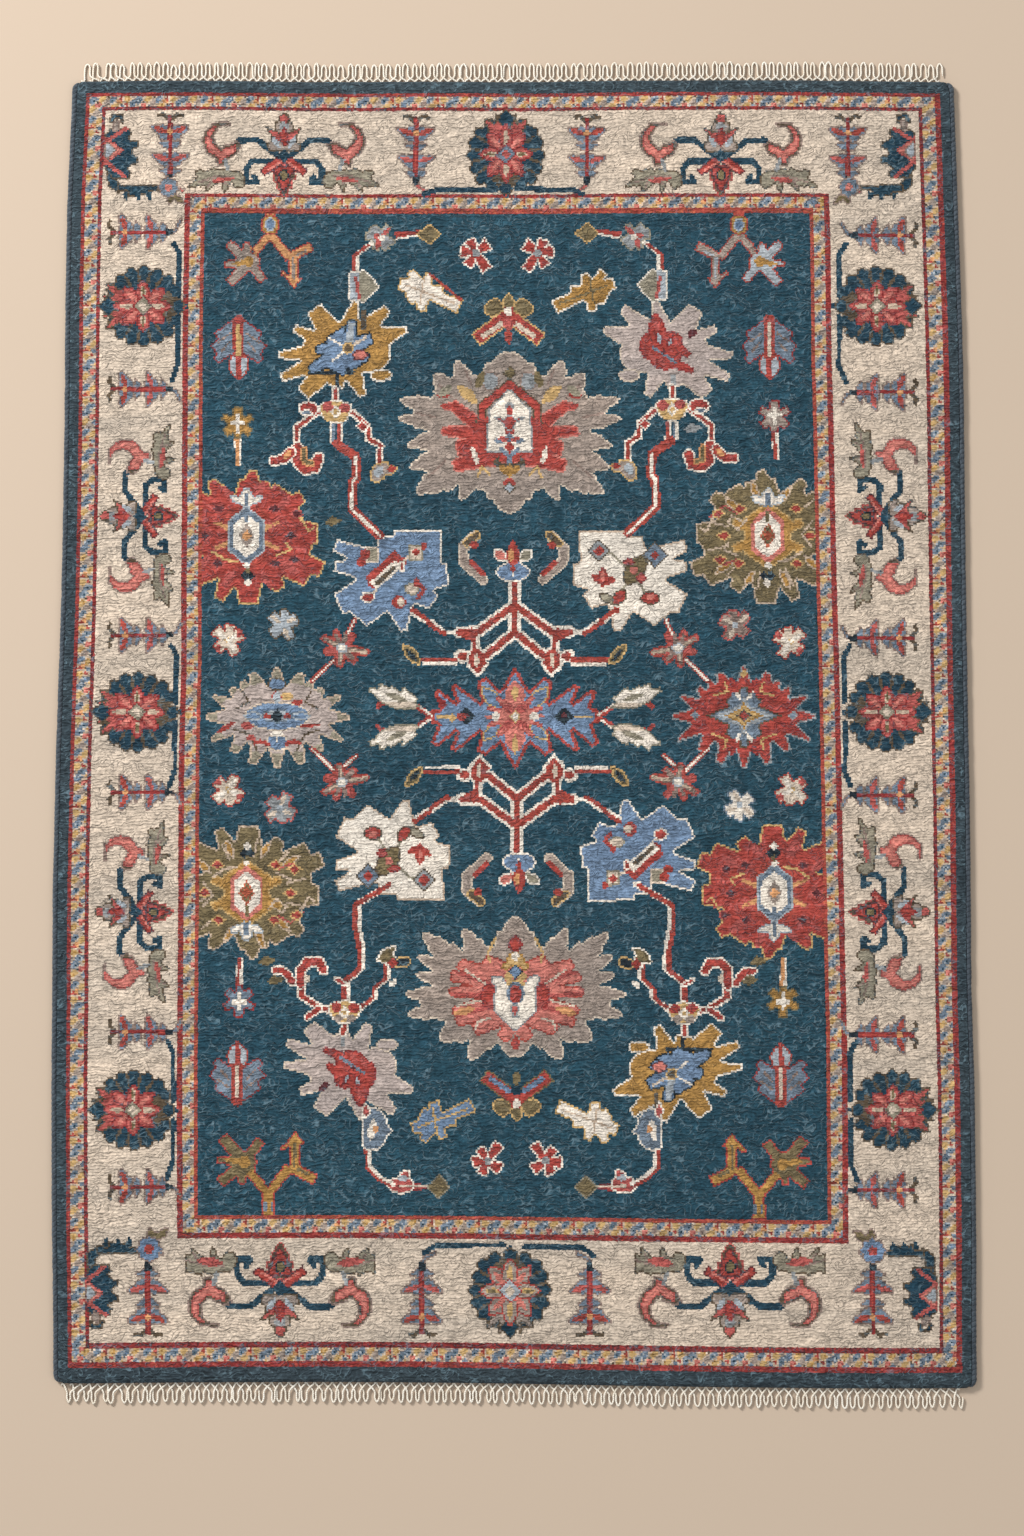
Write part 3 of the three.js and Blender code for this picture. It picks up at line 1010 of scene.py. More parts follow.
for across, mirror in ((399, False), (626, True)):
    motif(BRANCH_END, across, 1187, 75, mirror=mirror)
ORANGE_SPRAY = {"yarn": "orange", "edge": "brick", "heart": "greige"}
GREIGE_SPRAY = {"yarn": "greige", "edge": "brick", "heart": "mist"}
GOLDEN_SPRAY = {"yarn": "mustard", "edge": "red", "heart": "olive"}
motif(SPRAY + SPRAY_BUD, 270, 214, 105, ORANGE_SPRAY, flip=True, size=0.88)
motif(SPRAY + SPRAY_BUD, 739, 214, 105, GREIGE_SPRAY, flip=True, mirror=True, size=0.88)
motif(SPRAY, 268, 1216, 105, GOLDEN_SPRAY)
motif(SPRAY, 759, 1218, 105, GOLDEN_SPRAY, mirror=True)
print("ends of the branches")

# %% Florets and stars
FLORET = """
=petals: limb 0 0 12 6 9 10 / 0 0 -11 9 8 9 / 0 0 -10 -8 9 9 / 0 0 7 -12 8 8 / 0 0 2 13 8 7
edge +: petals
yarn: petals
eye: oval 0 0 3 3
"""
CREAM_LEAVES = """
cream: leaf -2 2 -12 9 4 / 0 -2 6 -13 4 / 2 2 12 6 4
"""
IVORY_LEAVES = """
ivory: leaf 0 0 -11 8 4 / 0 0 7 -11 4 / 0 0 11 5 4
rose: oval -9 -7 3 3 / 10 6 3 3
"""
STAR = """
brick: stroke 5 -4 -8 -30 -33 / 5 stem_bends
ivory: stroke 1.9 -4 -8 -30 -33 / 1.9 stem_bends
=rays: limb 0 0 -19 11 10 4 / 0 0 -7 17 9 4 / 0 0 12 14 10 4 / 0 0 -17 -4 10 4 / 0 0 26 -5 10 4 /
    0 0 -3 -18 10 5 / 0 0 13 -13 10 5
brick +: rays
rose: rays
taupe: limb 0 0 -18 10 6 4 / 0 0 4 15 7 3 / 0 0 25 -4 6 4 / 0 0 -3 -17 7 4 / 0 0 12 -12 5 4 /
    0 0 -7 14 5 3
sand: limb 0 0 -13 7 3 2 / 0 0 -2 -13 3 2 / 8 -2 26 -5 3 3
ivory mist: oval 0 0 6 5
"""
FLORETS = [
    # across, down, yarn, edge, mirror, flip
    (283, 625, "mist", "umber", False, False),
    (735, 625, "taupe", "rose", True, False),
    (280, 808, "grey", "rose", False, True),
    (740, 805, "ivory", "slate", True, True),
]
for across, down, yarn, edge, mirror, flip in FLORETS:
    wools = {"yarn": yarn, "edge": edge, "eye": "mist"}
    motif(FLORET + CREAM_LEAVES, across, down, 40, wools, mirror=mirror, flip=flip, size=1.1)
wools = {"yarn": "cream", "edge": "brick", "eye": "gold"}
for across, down in ((228, 640), (790, 642), (228, 790), (792, 790)):
    turned = {"mirror": across > 500, "flip": down > 700}
    motif(FLORET + IVORY_LEAVES, across, down, 40, wools, size=1.12, **turned)
for down, bends in ((648, "4 10 12 28"), (782, "-2 -12 14 -26")):
    for across in (342, 678):
        turned = {"mirror": across > 500, "flip": down > 700}
        motif(STAR.replace("stem_bends", bends), across, down, 60, **turned)
END_LEAF = """
two_sided: 4.5 -3 -20 -2 -40 10 -52 22 -58
slate ivory: oval 2 -2 17 22, diamond 6 -4 18 14, &beyond -8
ivory: leaf 0 -14 4 8 8
orange: oval 6 -2 3 4
rose ivory: leaf -4 8 -4 24 9
"""
motif(END_LEAF, 370, 1127, 80)
motif(END_LEAF, 655, 1127, 80, mirror=True)
for across, down in ((333, 522), (693, 429), (267, 962), (276, 981), (758, 962), (750, 981)):
    wools = {"yarn": "olive" if down > 500 else "grey"}
    motif("yarn: leaf -9 -1 9 2 7, oval -1 1 4 5", across, down, 20, wools)
print("florets and stars")

# %% [markdown]
# Round the field lie the bands: the field line, a narrow guard, a red line, the broad cream border,
# a red line, the outer guard, a red line and the navy edge. Each is counted in knots from the edge.

# %% Bands
BAND_YARNS = {
    "navy": "navy",
    "outer line": "madder",
    "outer guard": "sand",
    "second line": "madder",
    "border": "cream",
    "third line": "madder",
    "inner guard": "sand",
    "field line": "brick",
}
BAND_KNOTS = {
    "left": (5, 2, 7, 2, 45, 3, 6, 2),
    "right": (5, 3, 7, 2, 49, 3, 6, 2),
    "far": (7, 2, 6, 2, 47, 2, 6, 3),
    "near": (8, 3, 7, 3, 54, 3, 7, 2),
}


def band_window(side, band):
    """The part of the chart that one band takes up along one side, corner to corner."""
    place = list(BAND_YARNS).index(band)
    start = {name: sum(knots[:place]) for name, knots in BAND_KNOTS.items()}
    inside = chart[start["far"] : ROWS - start["near"], start["left"] : COLUMNS - start["right"]]
    wide = BAND_KNOTS[side][place]
    ends = {"far": inside[:wide], "near": inside[-wide:]}
    return {**ends, "left": inside[:, :wide], "right": inside[:, -wide:]}[side]


for band, yarn in BAND_YARNS.items():
    for side in BAND_KNOTS:
        band_window(side, band)[:] = NUMBER[yarn]
print("bands:", len(BAND_YARNS))

# %% [markdown]
# The border repeats three plants: a leafy stem, a rosette with a star in it, and a scroll of two
# arms. The weaver fitted them to the sides by eye, so their places are a list and not a rule.

# %% Border plants
STEM_FOOT = "foot taupe: stroke 5 0 -34 2 -40 12 -45"
LEAFY_STEM = """
slate taupe: toothed 0 -27 12 -25 12 2
slate taupe: toothed 0 -16 20 -9 18 2
rose: leaf 1 -15 17 -10 5.4
slate taupe: toothed 0 0 12 3 12 2
slate taupe: toothed 0 11 20 19 19 2
brick: leaf 1 12 17 18 5.7
umber: stroke 4 2 26 7 31 12 30
red madder: limb 0 -32 0 30 5 4.2
orange: oval 0 14 3 3
deep: limb 0 -38 0 -29 5 7
"""
ROSETTE = """
ink: limb 0 -46 0 -34 5 5
=wing: oval 21 -1 17 27 / 32 -15 7 6.5 / 35 -1 7 6.5 / 33 12 7 6.5 / 27 23 7 6.5 / 17 31 7 6.5 /
    26 -26 7 6.5 / 15 -33 7 6.5
umber: oval 0 -3 22 33
ink umber: wing
umber: leaf 38 -8 20.9 -4.4 3.6 / 38 6 20.9 3.3 3.6 / 31 19 17.05 10.45 3.6 / 31 -21 17.05 -11.55 3.6
petal umber: toothed 6 16 23 38 16 2 / 3 18 11 43 13 2
ink umber: diamond 0 36 11 12, limb 0 20 0 34 12 8
ink umber: oval 0 -36 8 7
"""
ROSETTE_STAR = """
petal edge: leaf 0 0 19 22 15
petal edge: leaf 0 0 18 -22 15
petal edge: leaf 0 0 27 0 15
petal edge: leaf 0 0 0 31 15
petal edge: leaf 0 0 0 -29 15
pink: leaf 4.5 5.1 15 17 5 / 4.2 -5.1 14 -17 5
rib: leaf 0 7.5 0 25 5 / 0 -6.9 0 -23 5 / 6.6 0 22 0 5
olive: leaf 11 0 21 0 3
heart edge: diamond 0 0 11 11
eye: diamond 0 0 5 5
"""
SCROLL = """
ink: stroke 6 2 2 14 10 26 20 44 20 52 12 60 0 / 6 4 -1 32 -1 38 -9 38 -22 27 -22 / 5 27 -20 30 -16
umber taupe =horn: oval 62 19 20 19, leaf 60 6 66 -7 12, -oval 55 23 14 12 / 44 32 10 12,
    stroke 7 48 16 58 12 / 5 56 36 70 36
pink rose: horn_inside, &beyond 48
sage umber: stroke 11 46 -16 62 -14 78 -17, toothed 66 -14 97 -27 17 3 / 66 -12 79 -32 15 2 /
    56 -12 60 -33 14 2, oval 45 -21 7 8 / 84 -13 6 4
taupe: stroke 1.9 50 -16 66 -16 86 -22 / 1.9 58 -24 64 -18 / 1.9 76 -27 72 -19
rose: leaf 50 -18 74 -21 leaf_width
grey: stroke 4 59 0 56 -9
greige umber: toothed 0 8 0 48 34 4
rose umber: toothed 2 20 18 33 10 2, leaf 0 34 0 48 12
grey: oval 0 34 5 4
red madder: leaf 0 14 0 34 10 .4
mist: leaf 4 12 12 24 5
umber rose: toothed 0 -4 0 -37 30 4
red wine: toothed 0 -6 0 -32 22 3
olive deep: oval 0 -15 5 6
red wine: limb 0 3 22 -13 10 8
pink: stroke 2 2 -1 16 -10
ink: diamond 0 4 8 7
"""
MADDER_STAR = {"petal": "rose", "edge": "madder", "rib": "sand", "heart": "sage", "eye": "cream"}
FAR_STAR = {**MADDER_STAR, "heart": "slate", "eye": "rose"}
PALE_STAR = {"petal": "greige", "edge": "red", "rib": "gold", "heart": "mist", "eye": "cream"}


def leafy_stem(across, down, turn, size, foot):
    """A stem that stands on the inner side at turn 0. Its foot bends to the right, or to the left at -1."""
    foot_wool = {"foot": "slate" if turn else "rose"}
    motif(STEM_FOOT, across, down, 60, foot_wool, turn=turn, mirror=foot < 0, size=size)
    motif(LEAFY_STEM, across, down, 60, turn=turn, fold=True, size=size)


def rosette(across, down, turn, size, star=MADDER_STAR, spread=1.0):
    """Dark scalloped wings round a star of eight petals, which can be spread wider than the wings."""
    motif(ROSETTE, across, down, 70, star, turn=turn, fold=True, size=size)
    motif(ROSETTE_STAR, across, down, 70, star, turn=turn, fold=True, size=size * spread)


def scroll(across, down, turn, size):
    """A scroll of two arms. On the long sides its horns keep a narrower inside."""
    inside = "horn**" if turn in (0, 180) else "horn*"
    talim = SCROLL.replace("horn_inside", inside).replace("leaf_width", "8" if turn == 180 else "5")
    motif(talim, across, down, 95, turn=turn, fold=True, size=size)


for across, foot in ((416, 1), (587, -1), (848, 1), (170, 1)):
    leafy_stem(across, 145 if across == 170 else 147, 0, 1.0, foot)
for across in (284, 721):
    scroll(across, 160, 0, 1.0)
rosette(506, 154, 0, 0.95, FAR_STAR, 1.05)
for down, foot in ((235, 1), (392, -1), (638, 1), (795, -1), (1035, 1), (1190, -1)):
    leafy_stem(138, down - 3, 90, 0.94, foot)
    leafy_stem(886, down, 270, 0.98, -foot)
for down, left, right in ((306, 143, 877), (712, 137, 887), (1110, 133, 893)):
    rosette(left, down, 90, 0.98)
    rosette(right, down, 270, 0.98)
for down, left, right in ((516, 144, 881), (912, 139, 885)):
    scroll(left, down, 90, 0.95)
    scroll(right, down, 270, 0.97)
for across, foot in ((422, -1), (590, 1), (873, 1), (148, -1)):
    leafy_stem(across, 1302, 180, 1.08, foot)
for across in (280, 730):
    scroll(across, 1284, 180, 1.13)
rosette(510, 1291, 180, 1.0, PALE_STAR, 1.15)
print("border plants")

# %% [markdown]
# Thin teal lines, like brackets, tie the stems to the rosettes. In the corners the border turns
# with half a rosette, and with a round flower on the last stem.

# %% Brackets and corners
BRACKETS = [
    # the bends of each line, as picture points
    [(424, 194), (440, 189), (497, 189)],
    [(516, 189), (572, 189), (582, 194)],
    [(174, 244), (179, 252), (179, 296)],
    [(178, 316), (178, 362), (172, 380)],
    [(171, 646), (176, 654), (176, 702)],
    [(175, 722), (175, 770), (169, 786)],
    [(168, 1042), (173, 1052), (173, 1100)],
    [(173, 1120), (173, 1160), (167, 1178)],
    [(846, 244), (839, 254), (839, 296)],
    [(839, 316), (839, 366), (846, 382)],
    [(850, 646), (844, 656), (844, 702)],
    [(845, 722), (845, 772), (851, 786)],
    [(856, 1042), (850, 1054), (850, 1100)],
    [(851, 1120), (851, 1164), (857, 1180)],
    [(424, 1253), (437, 1245), (504, 1245)],
    [(524, 1247), (582, 1247), (594, 1256)],
]
for bends in BRACKETS:
    across, down = (np.array(bends[0]) + bends[-1]) / 2
    local = " ".join(f"{x - across} {down - y}" for x, y in bends)
    motif("ink: stroke 5.4 " + local, across, down, 60)

CORNER_ROSETTE = """
ink umber: stroke 10 8 -20 8 ARM+5 15 ARM, &beyond 0
ink umber: limb 13 ARM 56 ARM 9 6 / 24 ARM-4 44 ARM-4 9 7
ink: limb 21 ARM-4 23 ARM-12 7 2 / 33 ARM-4 35 ARM-12 7 2 / 44 ARM-4 46 ARM-12 7 2
ink umber: oval 12 -2 17 24, limb 8 12.3 27 19 21 7 / 8 3.2 35 6 21 7 / 8 -8 35 -10 21 7 /
    8 -18.5 27 -25 21 7, &beyond 0
pink rose: diamond 0 0 20 15, &beyond 0
rose: stroke 4 2 10 9 13 22 22 / 4 2 -12 6 -15 20 -26
mist taupe: diamond 4 0 9 9, &beyond 0
greige taupe: leaf 10 18 14 31 9
ink umber: stroke 5 7 29 9 34 17 34 18 29
"""
ROUND_FLOWER = """
olive taupe: leaf 3 -6 16 -17 8 / 2 -6 1 -18 8
yarn taupe: diamond 0 0 12 12, cushion 0 0 9.5 9.5
eye: oval 0 0 3.6 3.6
"""
CORNERS = [
    # across and down of the half rosette, then of the round flower, its yarn and eye, and its size
    (104, 150, 168.5, 187, "slate", "pink", 1.0),
    (916, 150, 849, 187, "slate", "pink", 1.0),
    (84, 1293, 149, 1249, "blue", "red", 1.25),
    (938, 1296, 873, 1251, "blue", "red", 1.25),
]
for across, down, flower_across, flower_down, yarn, eye, size in CORNERS:
    turned = {"mirror": across > 500, "flip": down > 700}
    arm = -43 if down > 700 else -38
    talim = CORNER_ROSETTE
    for word, place in (("ARM+5", arm + 5), ("ARM-4", arm - 4), ("ARM-12", arm - 12), ("ARM", arm)):
        talim = talim.replace(word, str(place))
    motif(talim, across, down, 80, **turned)
    wools = {"yarn": yarn, "eye": eye}
    motif(ROUND_FLOWER, flower_across, flower_down, 40, wools, size=size, **turned)
print("brackets:", len(BRACKETS))

# %% [markdown]
# The two guards are a short repeat, seven knots wide, that can be written down as it is charted:
# one letter a knot. A weaver starts it anew on each side, and so it never quite meets at a corner.

# %% Guards
GUARD = [
    ".sss..yyy.u.sss..r.yyy.gg",
    "ssss.yyyy..ssss.rr.yyyy.g",
    "ssbs.yyy.ggsbs.oor.yyy.ss",
    "sss.u.y.gggss..ooo..y.sss",
    ".s.ppp..ggg..yyy.u.rr.sbs",
    "...ppr.sgg..yyyy.ss.r.sss",
    "y..rp.sss.u.yyy..ss...ss.",
]
GUARD_YARNS = {".": "sand", "s": "slate", "b": "ink", "y": "gold", "g": "greige"}
GUARD_YARNS |= {"p": "pink", "r": "brick", "o": "orange", "u": "umber"}
repeat = np.array([[NUMBER[GUARD_YARNS[letter]] for letter in line] for line in GUARD])
for band, shift in (("outer guard", 0), ("inner guard", 9)):
    for side in BAND_KNOTS:
        window = band_window(side, band)
        along = window.T if side in ("left", "right") else window
        wide, long = along.shape
        pattern = repeat[:wide, (np.arange(long) + shift) % repeat.shape[1]]
        worked = pattern != NUMBER["sand"]
        along[worked] = pattern[worked]

draw = np.random.default_rng(17)
BEAD_SHARE = 0.22
BEADS = {"outer line": "brick", "second line": "wine", "third line": "red", "field line": "rust"}
for band, bead in BEADS.items():
    for side in BAND_KNOTS:
        line = band_window(side, band)
        line[draw.random(line.shape) < BEAD_SHARE] = NUMBER[bead]
SPECKS = {"slate": "mist", "gold": "mustard", "greige": "taupe"}
SPECKS |= {"ink": "blue", "sand": "cream", "brick": "rose"}
SPECK_SHARE = 0.12
for band in ("outer guard", "inner guard"):
    for side in BAND_KNOTS:
        window = band_window(side, band)
        for yarn, speck in SPECKS.items():
            window[(window == NUMBER[yarn]) & (draw.random(window.shape) < SPECK_SHARE)] = NUMBER[speck]
print("guards: 8, repeat of", repeat.shape[1], "knots")

# %% [markdown]
# Now the pile itself. Each knot becomes one small face, coloured by its yarn, and the corners of the
# faces are pushed a little aside, up and down, because no two tufts stand alike. The pile waves in
# low furrows across the rug, sinks in the seams between two colours, and rounds off at the rim.


# %% How high each tuft stands
def cloudy(shape, across, along, draw):
    """Smooth uneven numbers from about -1 to 1, one bump being so many knots across and along."""
    bumps = draw.standard_normal((int(shape[0] / along) + 3, int(shape[1] / across) + 3))
    down = np.arange(shape[0]) / along
    right = np.arange(shape[1]) / across
    row = down.astype(int)
    column = right.astype(int)
    low = (down - row)[:, None]
    low = low * low * (3 - 2 * low)
    side = (right - column)[None, :]
    side = side * side * (3 - 2 * side)
    upper = bumps[row][:, column] * (1 - side) + bumps[row][:, column + 1] * side
    lower = bumps[row + 1][:, column] * (1 - side) + bumps[row + 1][:, column + 1] * side
    return upper * (1 - low) + lower * low


FURROW_ROWS = 3.1
FURROW_HEIGHT = 0.00040
SWELL = 0.00025
RIPPLE = 0.00030
TUFT = 0.00030
SEAM_DEPTH = 0.00045
CLIPPED = 0.0003
draw = np.random.default_rng(41)
corners = (ROWS + 1, COLUMNS + 1)
warp_down = cloudy(corners, 7, 5, draw) * 2.6 + cloudy(corners, 16, 9, draw) * 2.2
furrow_depth = np.clip(0.75 + 0.5 * cloudy(corners, 12, 3.4, draw), 0.1, 1.6)
furrow_turn = (np.arange(ROWS + 1)[:, None] + warp_down) * 2 * math.pi / FURROW_ROWS
furrows = FURROW_HEIGHT * np.sin(furrow_turn) * furrow_depth
swell = SWELL * cloudy(corners, 26, 9, draw) + RIPPLE * cloudy(corners, 6, 2.2, draw)
tuft = TUFT * draw.standard_normal(corners)

padded = np.pad(chart, 1, mode="edge")
meeting = (padded[:-1, :-1] != padded[1:, 1:]) | (padded[:-1, 1:] != padded[1:, :-1])
height = PILE_TOP - CLIPPED + furrows + swell + tuft - SEAM_DEPTH * meeting
print("furrows", round(float(np.ptp(furrows)) * 1000, 2), "mm deep,", int(meeting.sum()), "corners in seams")

# %% Where each corner of a knot lies
JITTER = 0.00032
RIM_ROUND = 0.0036
RIM_SINK = 0.85
UNDER_SELVEDGE = 0.0022
corner_x, corner_y = place_on_rug(*np.meshgrid(np.arange(COLUMNS + 1) / COLUMNS, np.arange(ROWS + 1) / ROWS))
inner = np.zeros(corners, bool)
inner[3:-3, 3:-3] = True
corner_x = corner_x + JITTER * draw.standard_normal(corners) * inner
corner_y = corner_y + JITTER * draw.standard_normal(corners) * inner

# The four corners of the rug are turned: what lies past the round is pulled back to it.
middle_x = (corner_x[:, :1] + corner_x[:, -1:]) / 2
middle_y = (corner_y[:1] + corner_y[-1:]) / 2
over_x = np.abs(corner_x - middle_x) - ((corner_x[:, -1:] - corner_x[:, :1]) / 2 - CORNER)
over_y = np.abs(corner_y - middle_y) - ((corner_y[:1] - corner_y[-1:]) / 2 - CORNER)
turning = (over_x > 0) & (over_y > 0)
reach = np.maximum(over_x, over_y)
pull = np.where(turning, 1 - reach / np.maximum(np.hypot(over_x, over_y), 1e-9), 0.0)
corner_x = corner_x - np.sign(corner_x - middle_x) * over_x * pull
corner_y = corner_y - np.sign(corner_y - middle_y) * over_y * pull
from_rim = CORNER - np.where(turning, reach, np.maximum(over_y, over_x - UNDER_SELVEDGE))
into_rim = np.clip(RIM_ROUND - from_rim, 0, None)
height = height - (RIM_ROUND - np.sqrt(np.maximum(RIM_ROUND**2 - into_rim**2, 0))) * RIM_SINK
print("pile stands", round(float(height.max()) * 1000, 2), "mm high in the middle")

# %% [markdown]
# The pile is cut into four pieces, so that none is too heavy: the two halves of the field and the
# two halves of the border. Each is a grid of faces, with the faces outside it taken away, and then
# closed with a wall all round and a flat underside where it stands on the foundation.


# %% Knotted pieces
def even_colour(rgb):
    """A yarn's colour as Blender mixes it."""
    share = np.array(rgb) / 255
    return np.where(share <= 0.04045, share / 12.92, ((share + 0.055) / 1.055) ** 2.4)


BACKING_TOP = 0.0026
dye = np.array([[*even_colour(YARNS[name]), 1.0] for name in YARN_NAMES])


def mode(name):
    bpy.ops.object.mode_set(mode=name)


def grid_of_faces(name, across, along):
    """A grid of so many faces, with the row and the column of each of its corners."""
    bpy.ops.object.select_all(action="DESELECT")
    bpy.ops.mesh.primitive_grid_add(x_subdivisions=across, y_subdivisions=along, size=1.0)
    piece = bpy.context.object
    piece.name = piece.data.name = name
    flat = read_places(piece)
    row = np.rint((0.5 - flat[:, 1]) * along).astype(int)
    return piece, row, np.rint((flat[:, 0] + 0.5) * across).astype(int)


def set_places(piece, *places):
    piece.data.vertices.foreach_set("co", np.stack(places, axis=1).ravel())
    piece.data.update()


def faces_of(piece):
    """The four corners of each face, as vertex numbers."""
    corner = np.empty(len(piece.data.loops), dtype=np.int64)
    piece.data.loops.foreach_get("vertex_index", corner)
    return corner.reshape(-1, 4)


def dye_faces(piece, face_row, face_column, row, column, bake_u, bake_v):
    """Each face's yarn, its corners as counted in knots, and its place on the square of baked colour."""
    rgba = dye[chart[face_row, face_column]]
    yarn = piece.data.attributes.new("yarn", "FLOAT_COLOR", "CORNER")
    yarn.data.foreach_set("color", np.repeat(rgba, 4, axis=0).astype(np.float32).ravel())
    piece.data.uv_layers[0].name = "knots"
    piece.data.uv_layers.new(name="OFBake")
    for uv, u, v in (("knots", column / 100, (ROWS - row) / 100), ("OFBake", bake_u, bake_v)):
        spots = np.stack([u, v], axis=2).astype(np.float32)
        piece.data.uv_layers[uv].data.foreach_set("uv", spots.ravel())


def close_off(piece, drop, lowest, angle):
    """Walls up or down from the open rim, a face across them, and smooth shading up to an angle."""
    mode("EDIT")
    bpy.ops.mesh.select_mode(type="EDGE")
    bpy.ops.mesh.select_all(action="DESELECT")
    bpy.ops.mesh.select_non_manifold()
    bpy.ops.mesh.extrude_region_move(TRANSFORM_OT_translate={"value": (0.0, 0.0, drop)})
    mode("OBJECT")
    x, y, z = read_places(piece).T
    set_places(piece, x, y, np.maximum(z, lowest))
    mode("EDIT")
    bpy.ops.mesh.edge_face_add()
    bpy.ops.mesh.select_all(action="SELECT")
    bpy.ops.mesh.normals_make_consistent(inside=False)
    mode("OBJECT")
    bpy.ops.object.shade_smooth_by_angle(angle=math.radians(angle))
    print(piece.name, len(piece.data.polygons), "faces")


FIELD_FAR = sum(BAND_KNOTS["far"])
FIELD_NEAR = ROWS - sum(BAND_KNOTS["near"])
FIELD_LEFT = sum(BAND_KNOTS["left"])
FIELD_RIGHT = COLUMNS - sum(BAND_KNOTS["right"])
MIDDLE = (FIELD_LEFT + FIELD_RIGHT) // 2
HALF_LONG = (FIELD_NEAR - FIELD_FAR) // 2
HALF_SQUARE = (0.02, 0.46)
QUARTER_SQUARE = (0.012, 0.225)
SQUARE_LONG = (0.03, 0.95)


def knotted_piece(name, rows, columns, kept, bake_place):
    piece, row, column = grid_of_faces(name, columns[1] - columns[0], rows[1] - rows[0])
    row = row + rows[0]
    column = column + columns[0]
    four = faces_of(piece)
    face_row = row[four].min(axis=1)
    face_column = column[four].min(axis=1)
    set_places(piece, corner_x[row, column], corner_y[row, column], height[row, column])
    u, v = bake_place(columns, face_row[:, None], row[four], column[four])
    dye_faces(piece, face_row, face_column, row[four], column[four], u, v)
    spare = ~kept(face_row, face_column)
    if spare.any():
        mode("EDIT")
        bpy.ops.mesh.select_all(action="DESELECT")
        bpy.ops.mesh.select_mode(type="FACE")
        mode("OBJECT")
        piece.data.polygons.foreach_set("select", spare)
        mode("EDIT")
        bpy.ops.mesh.delete(type="FACE")
        mode("OBJECT")
    close_off(piece, -PILE_TOP, BACKING_TOP, angle=70)
    return piece


def in_field(row, column):
    inside = (row >= FIELD_FAR) & (row < FIELD_NEAR)
    return inside & (column >= FIELD_LEFT) & (column < FIELD_RIGHT)


def in_border(row, column):
    return ~in_field(row, column)


def two_strips(columns, face_row, row, column):
    """A half of the field on its square of baked colour: its far part left, its near part right."""
    strip = face_row - FIELD_FAR >= HALF_LONG
    u = (column - columns[0]) / (columns[1] - columns[0]) * HALF_SQUARE[1] + HALF_SQUARE[0] + 0.5 * strip
    v = (row - FIELD_FAR - HALF_LONG * strip) / (HALF_LONG + 1)
    return u, SQUARE_LONG[0] + SQUARE_LONG[1] * (1 - v)


def four_strips(columns, face_row, row, column):
    """A half of the border on its square: its side in two strips, and its two ends in one each."""
    side = (0, FIELD_LEFT) if columns[0] == 0 else (FIELD_RIGHT, COLUMNS)
    is_far = face_row < FIELD_FAR
    is_near = face_row >= FIELD_NEAR
    lower = face_row >= FIELD_FAR + HALF_LONG
    end_u = np.where(is_far, row / FIELD_FAR, (row - FIELD_NEAR) / (ROWS - FIELD_NEAR))
    end_v = (column - columns[0]) / (columns[1] - columns[0])
    side_v = (row - FIELD_FAR - HALF_LONG * lower) / (HALF_LONG + 1)
    at_end = is_far | is_near
    u = np.where(at_end, end_u, (column - side[0]) / (side[1] - side[0])) * QUARTER_SQUARE[1]
    strip = np.where(is_far, 2, np.where(is_near, 3, np.where(lower, 1, 0)))
    v = np.where(at_end, end_v, side_v)
    return u + QUARTER_SQUARE[0] + 0.25 * strip, SQUARE_LONG[0] + SQUARE_LONG[1] * (1 - v)


field_rows = (FIELD_FAR, FIELD_NEAR)
pile = [
    knotted_piece("pile_field_left", field_rows, (FIELD_LEFT, MIDDLE), in_field, two_strips),
    knotted_piece("pile_field_right", field_rows, (MIDDLE, FIELD_RIGHT), in_field, two_strips),
    knotted_piece("pile_border_left", (0, ROWS), (0, MIDDLE), in_border, four_strips),
    knotted_piece("pile_border_right", (0, ROWS), (MIDDLE, COLUMNS), in_border, four_strips),
]

# %% [markdown]
# Under the pile is the foundation, the cotton warps and wefts that hold the knots. On the back of a
# knotted rug the same pattern shows, flat and a little paler, so the slab's underside is a coarser
# chart of the same yarns, and only its top is plain.

# %% Foundation
COARSE = 3
INSET = 0.0008
BACK_BUMP = 0.00025
coarse_rows = ROWS // COARSE
coarse_columns = COLUMNS // COARSE
foundation, row, column = grid_of_faces("foundation", coarse_columns, coarse_rows)
fine_column = np.rint(column * COLUMNS / coarse_columns).astype(int)
fine_row = np.rint(row * ROWS / coarse_rows).astype(int)
bumps = BACK_BUMP * ((row + column) % 2) * inner[fine_row, fine_column]
x = corner_x[fine_row, fine_column] * (1 - INSET / 0.6)
y = corner_y[fine_row, fine_column] * (1 - INSET / 0.88)
set_places(foundation, x, y, bumps)
four = faces_of(foundation)
half = coarse_rows // 2
strip = (row[four].min(axis=1) >= half)[:, None]
dye_faces(
    foundation,
    np.minimum(fine_row[four].min(axis=1) + 1, ROWS - 1),
    np.minimum(fine_column[four].min(axis=1) + 1, COLUMNS - 1),
    fine_row[four],
    fine_column[four],
    column[four] / coarse_columns * HALF_SQUARE[1] + HALF_SQUARE[0] + 0.5 * strip,
    SQUARE_LONG[0] + SQUARE_LONG[1] * (1 - (row[four] - half * strip) / (half + 2)),
)
close_off(foundation, BACKING_TOP, 0.0, angle=40)

# %% [markdown]
# Cords are swept by hand: a ring of corners is carried along a line and turned as it goes. A round
# ring would be a pipe, so the ring is flattened and turned to lay the two plies of a twisted cord, or
# swelled and sunk to lay the wraps of an overcast edge.


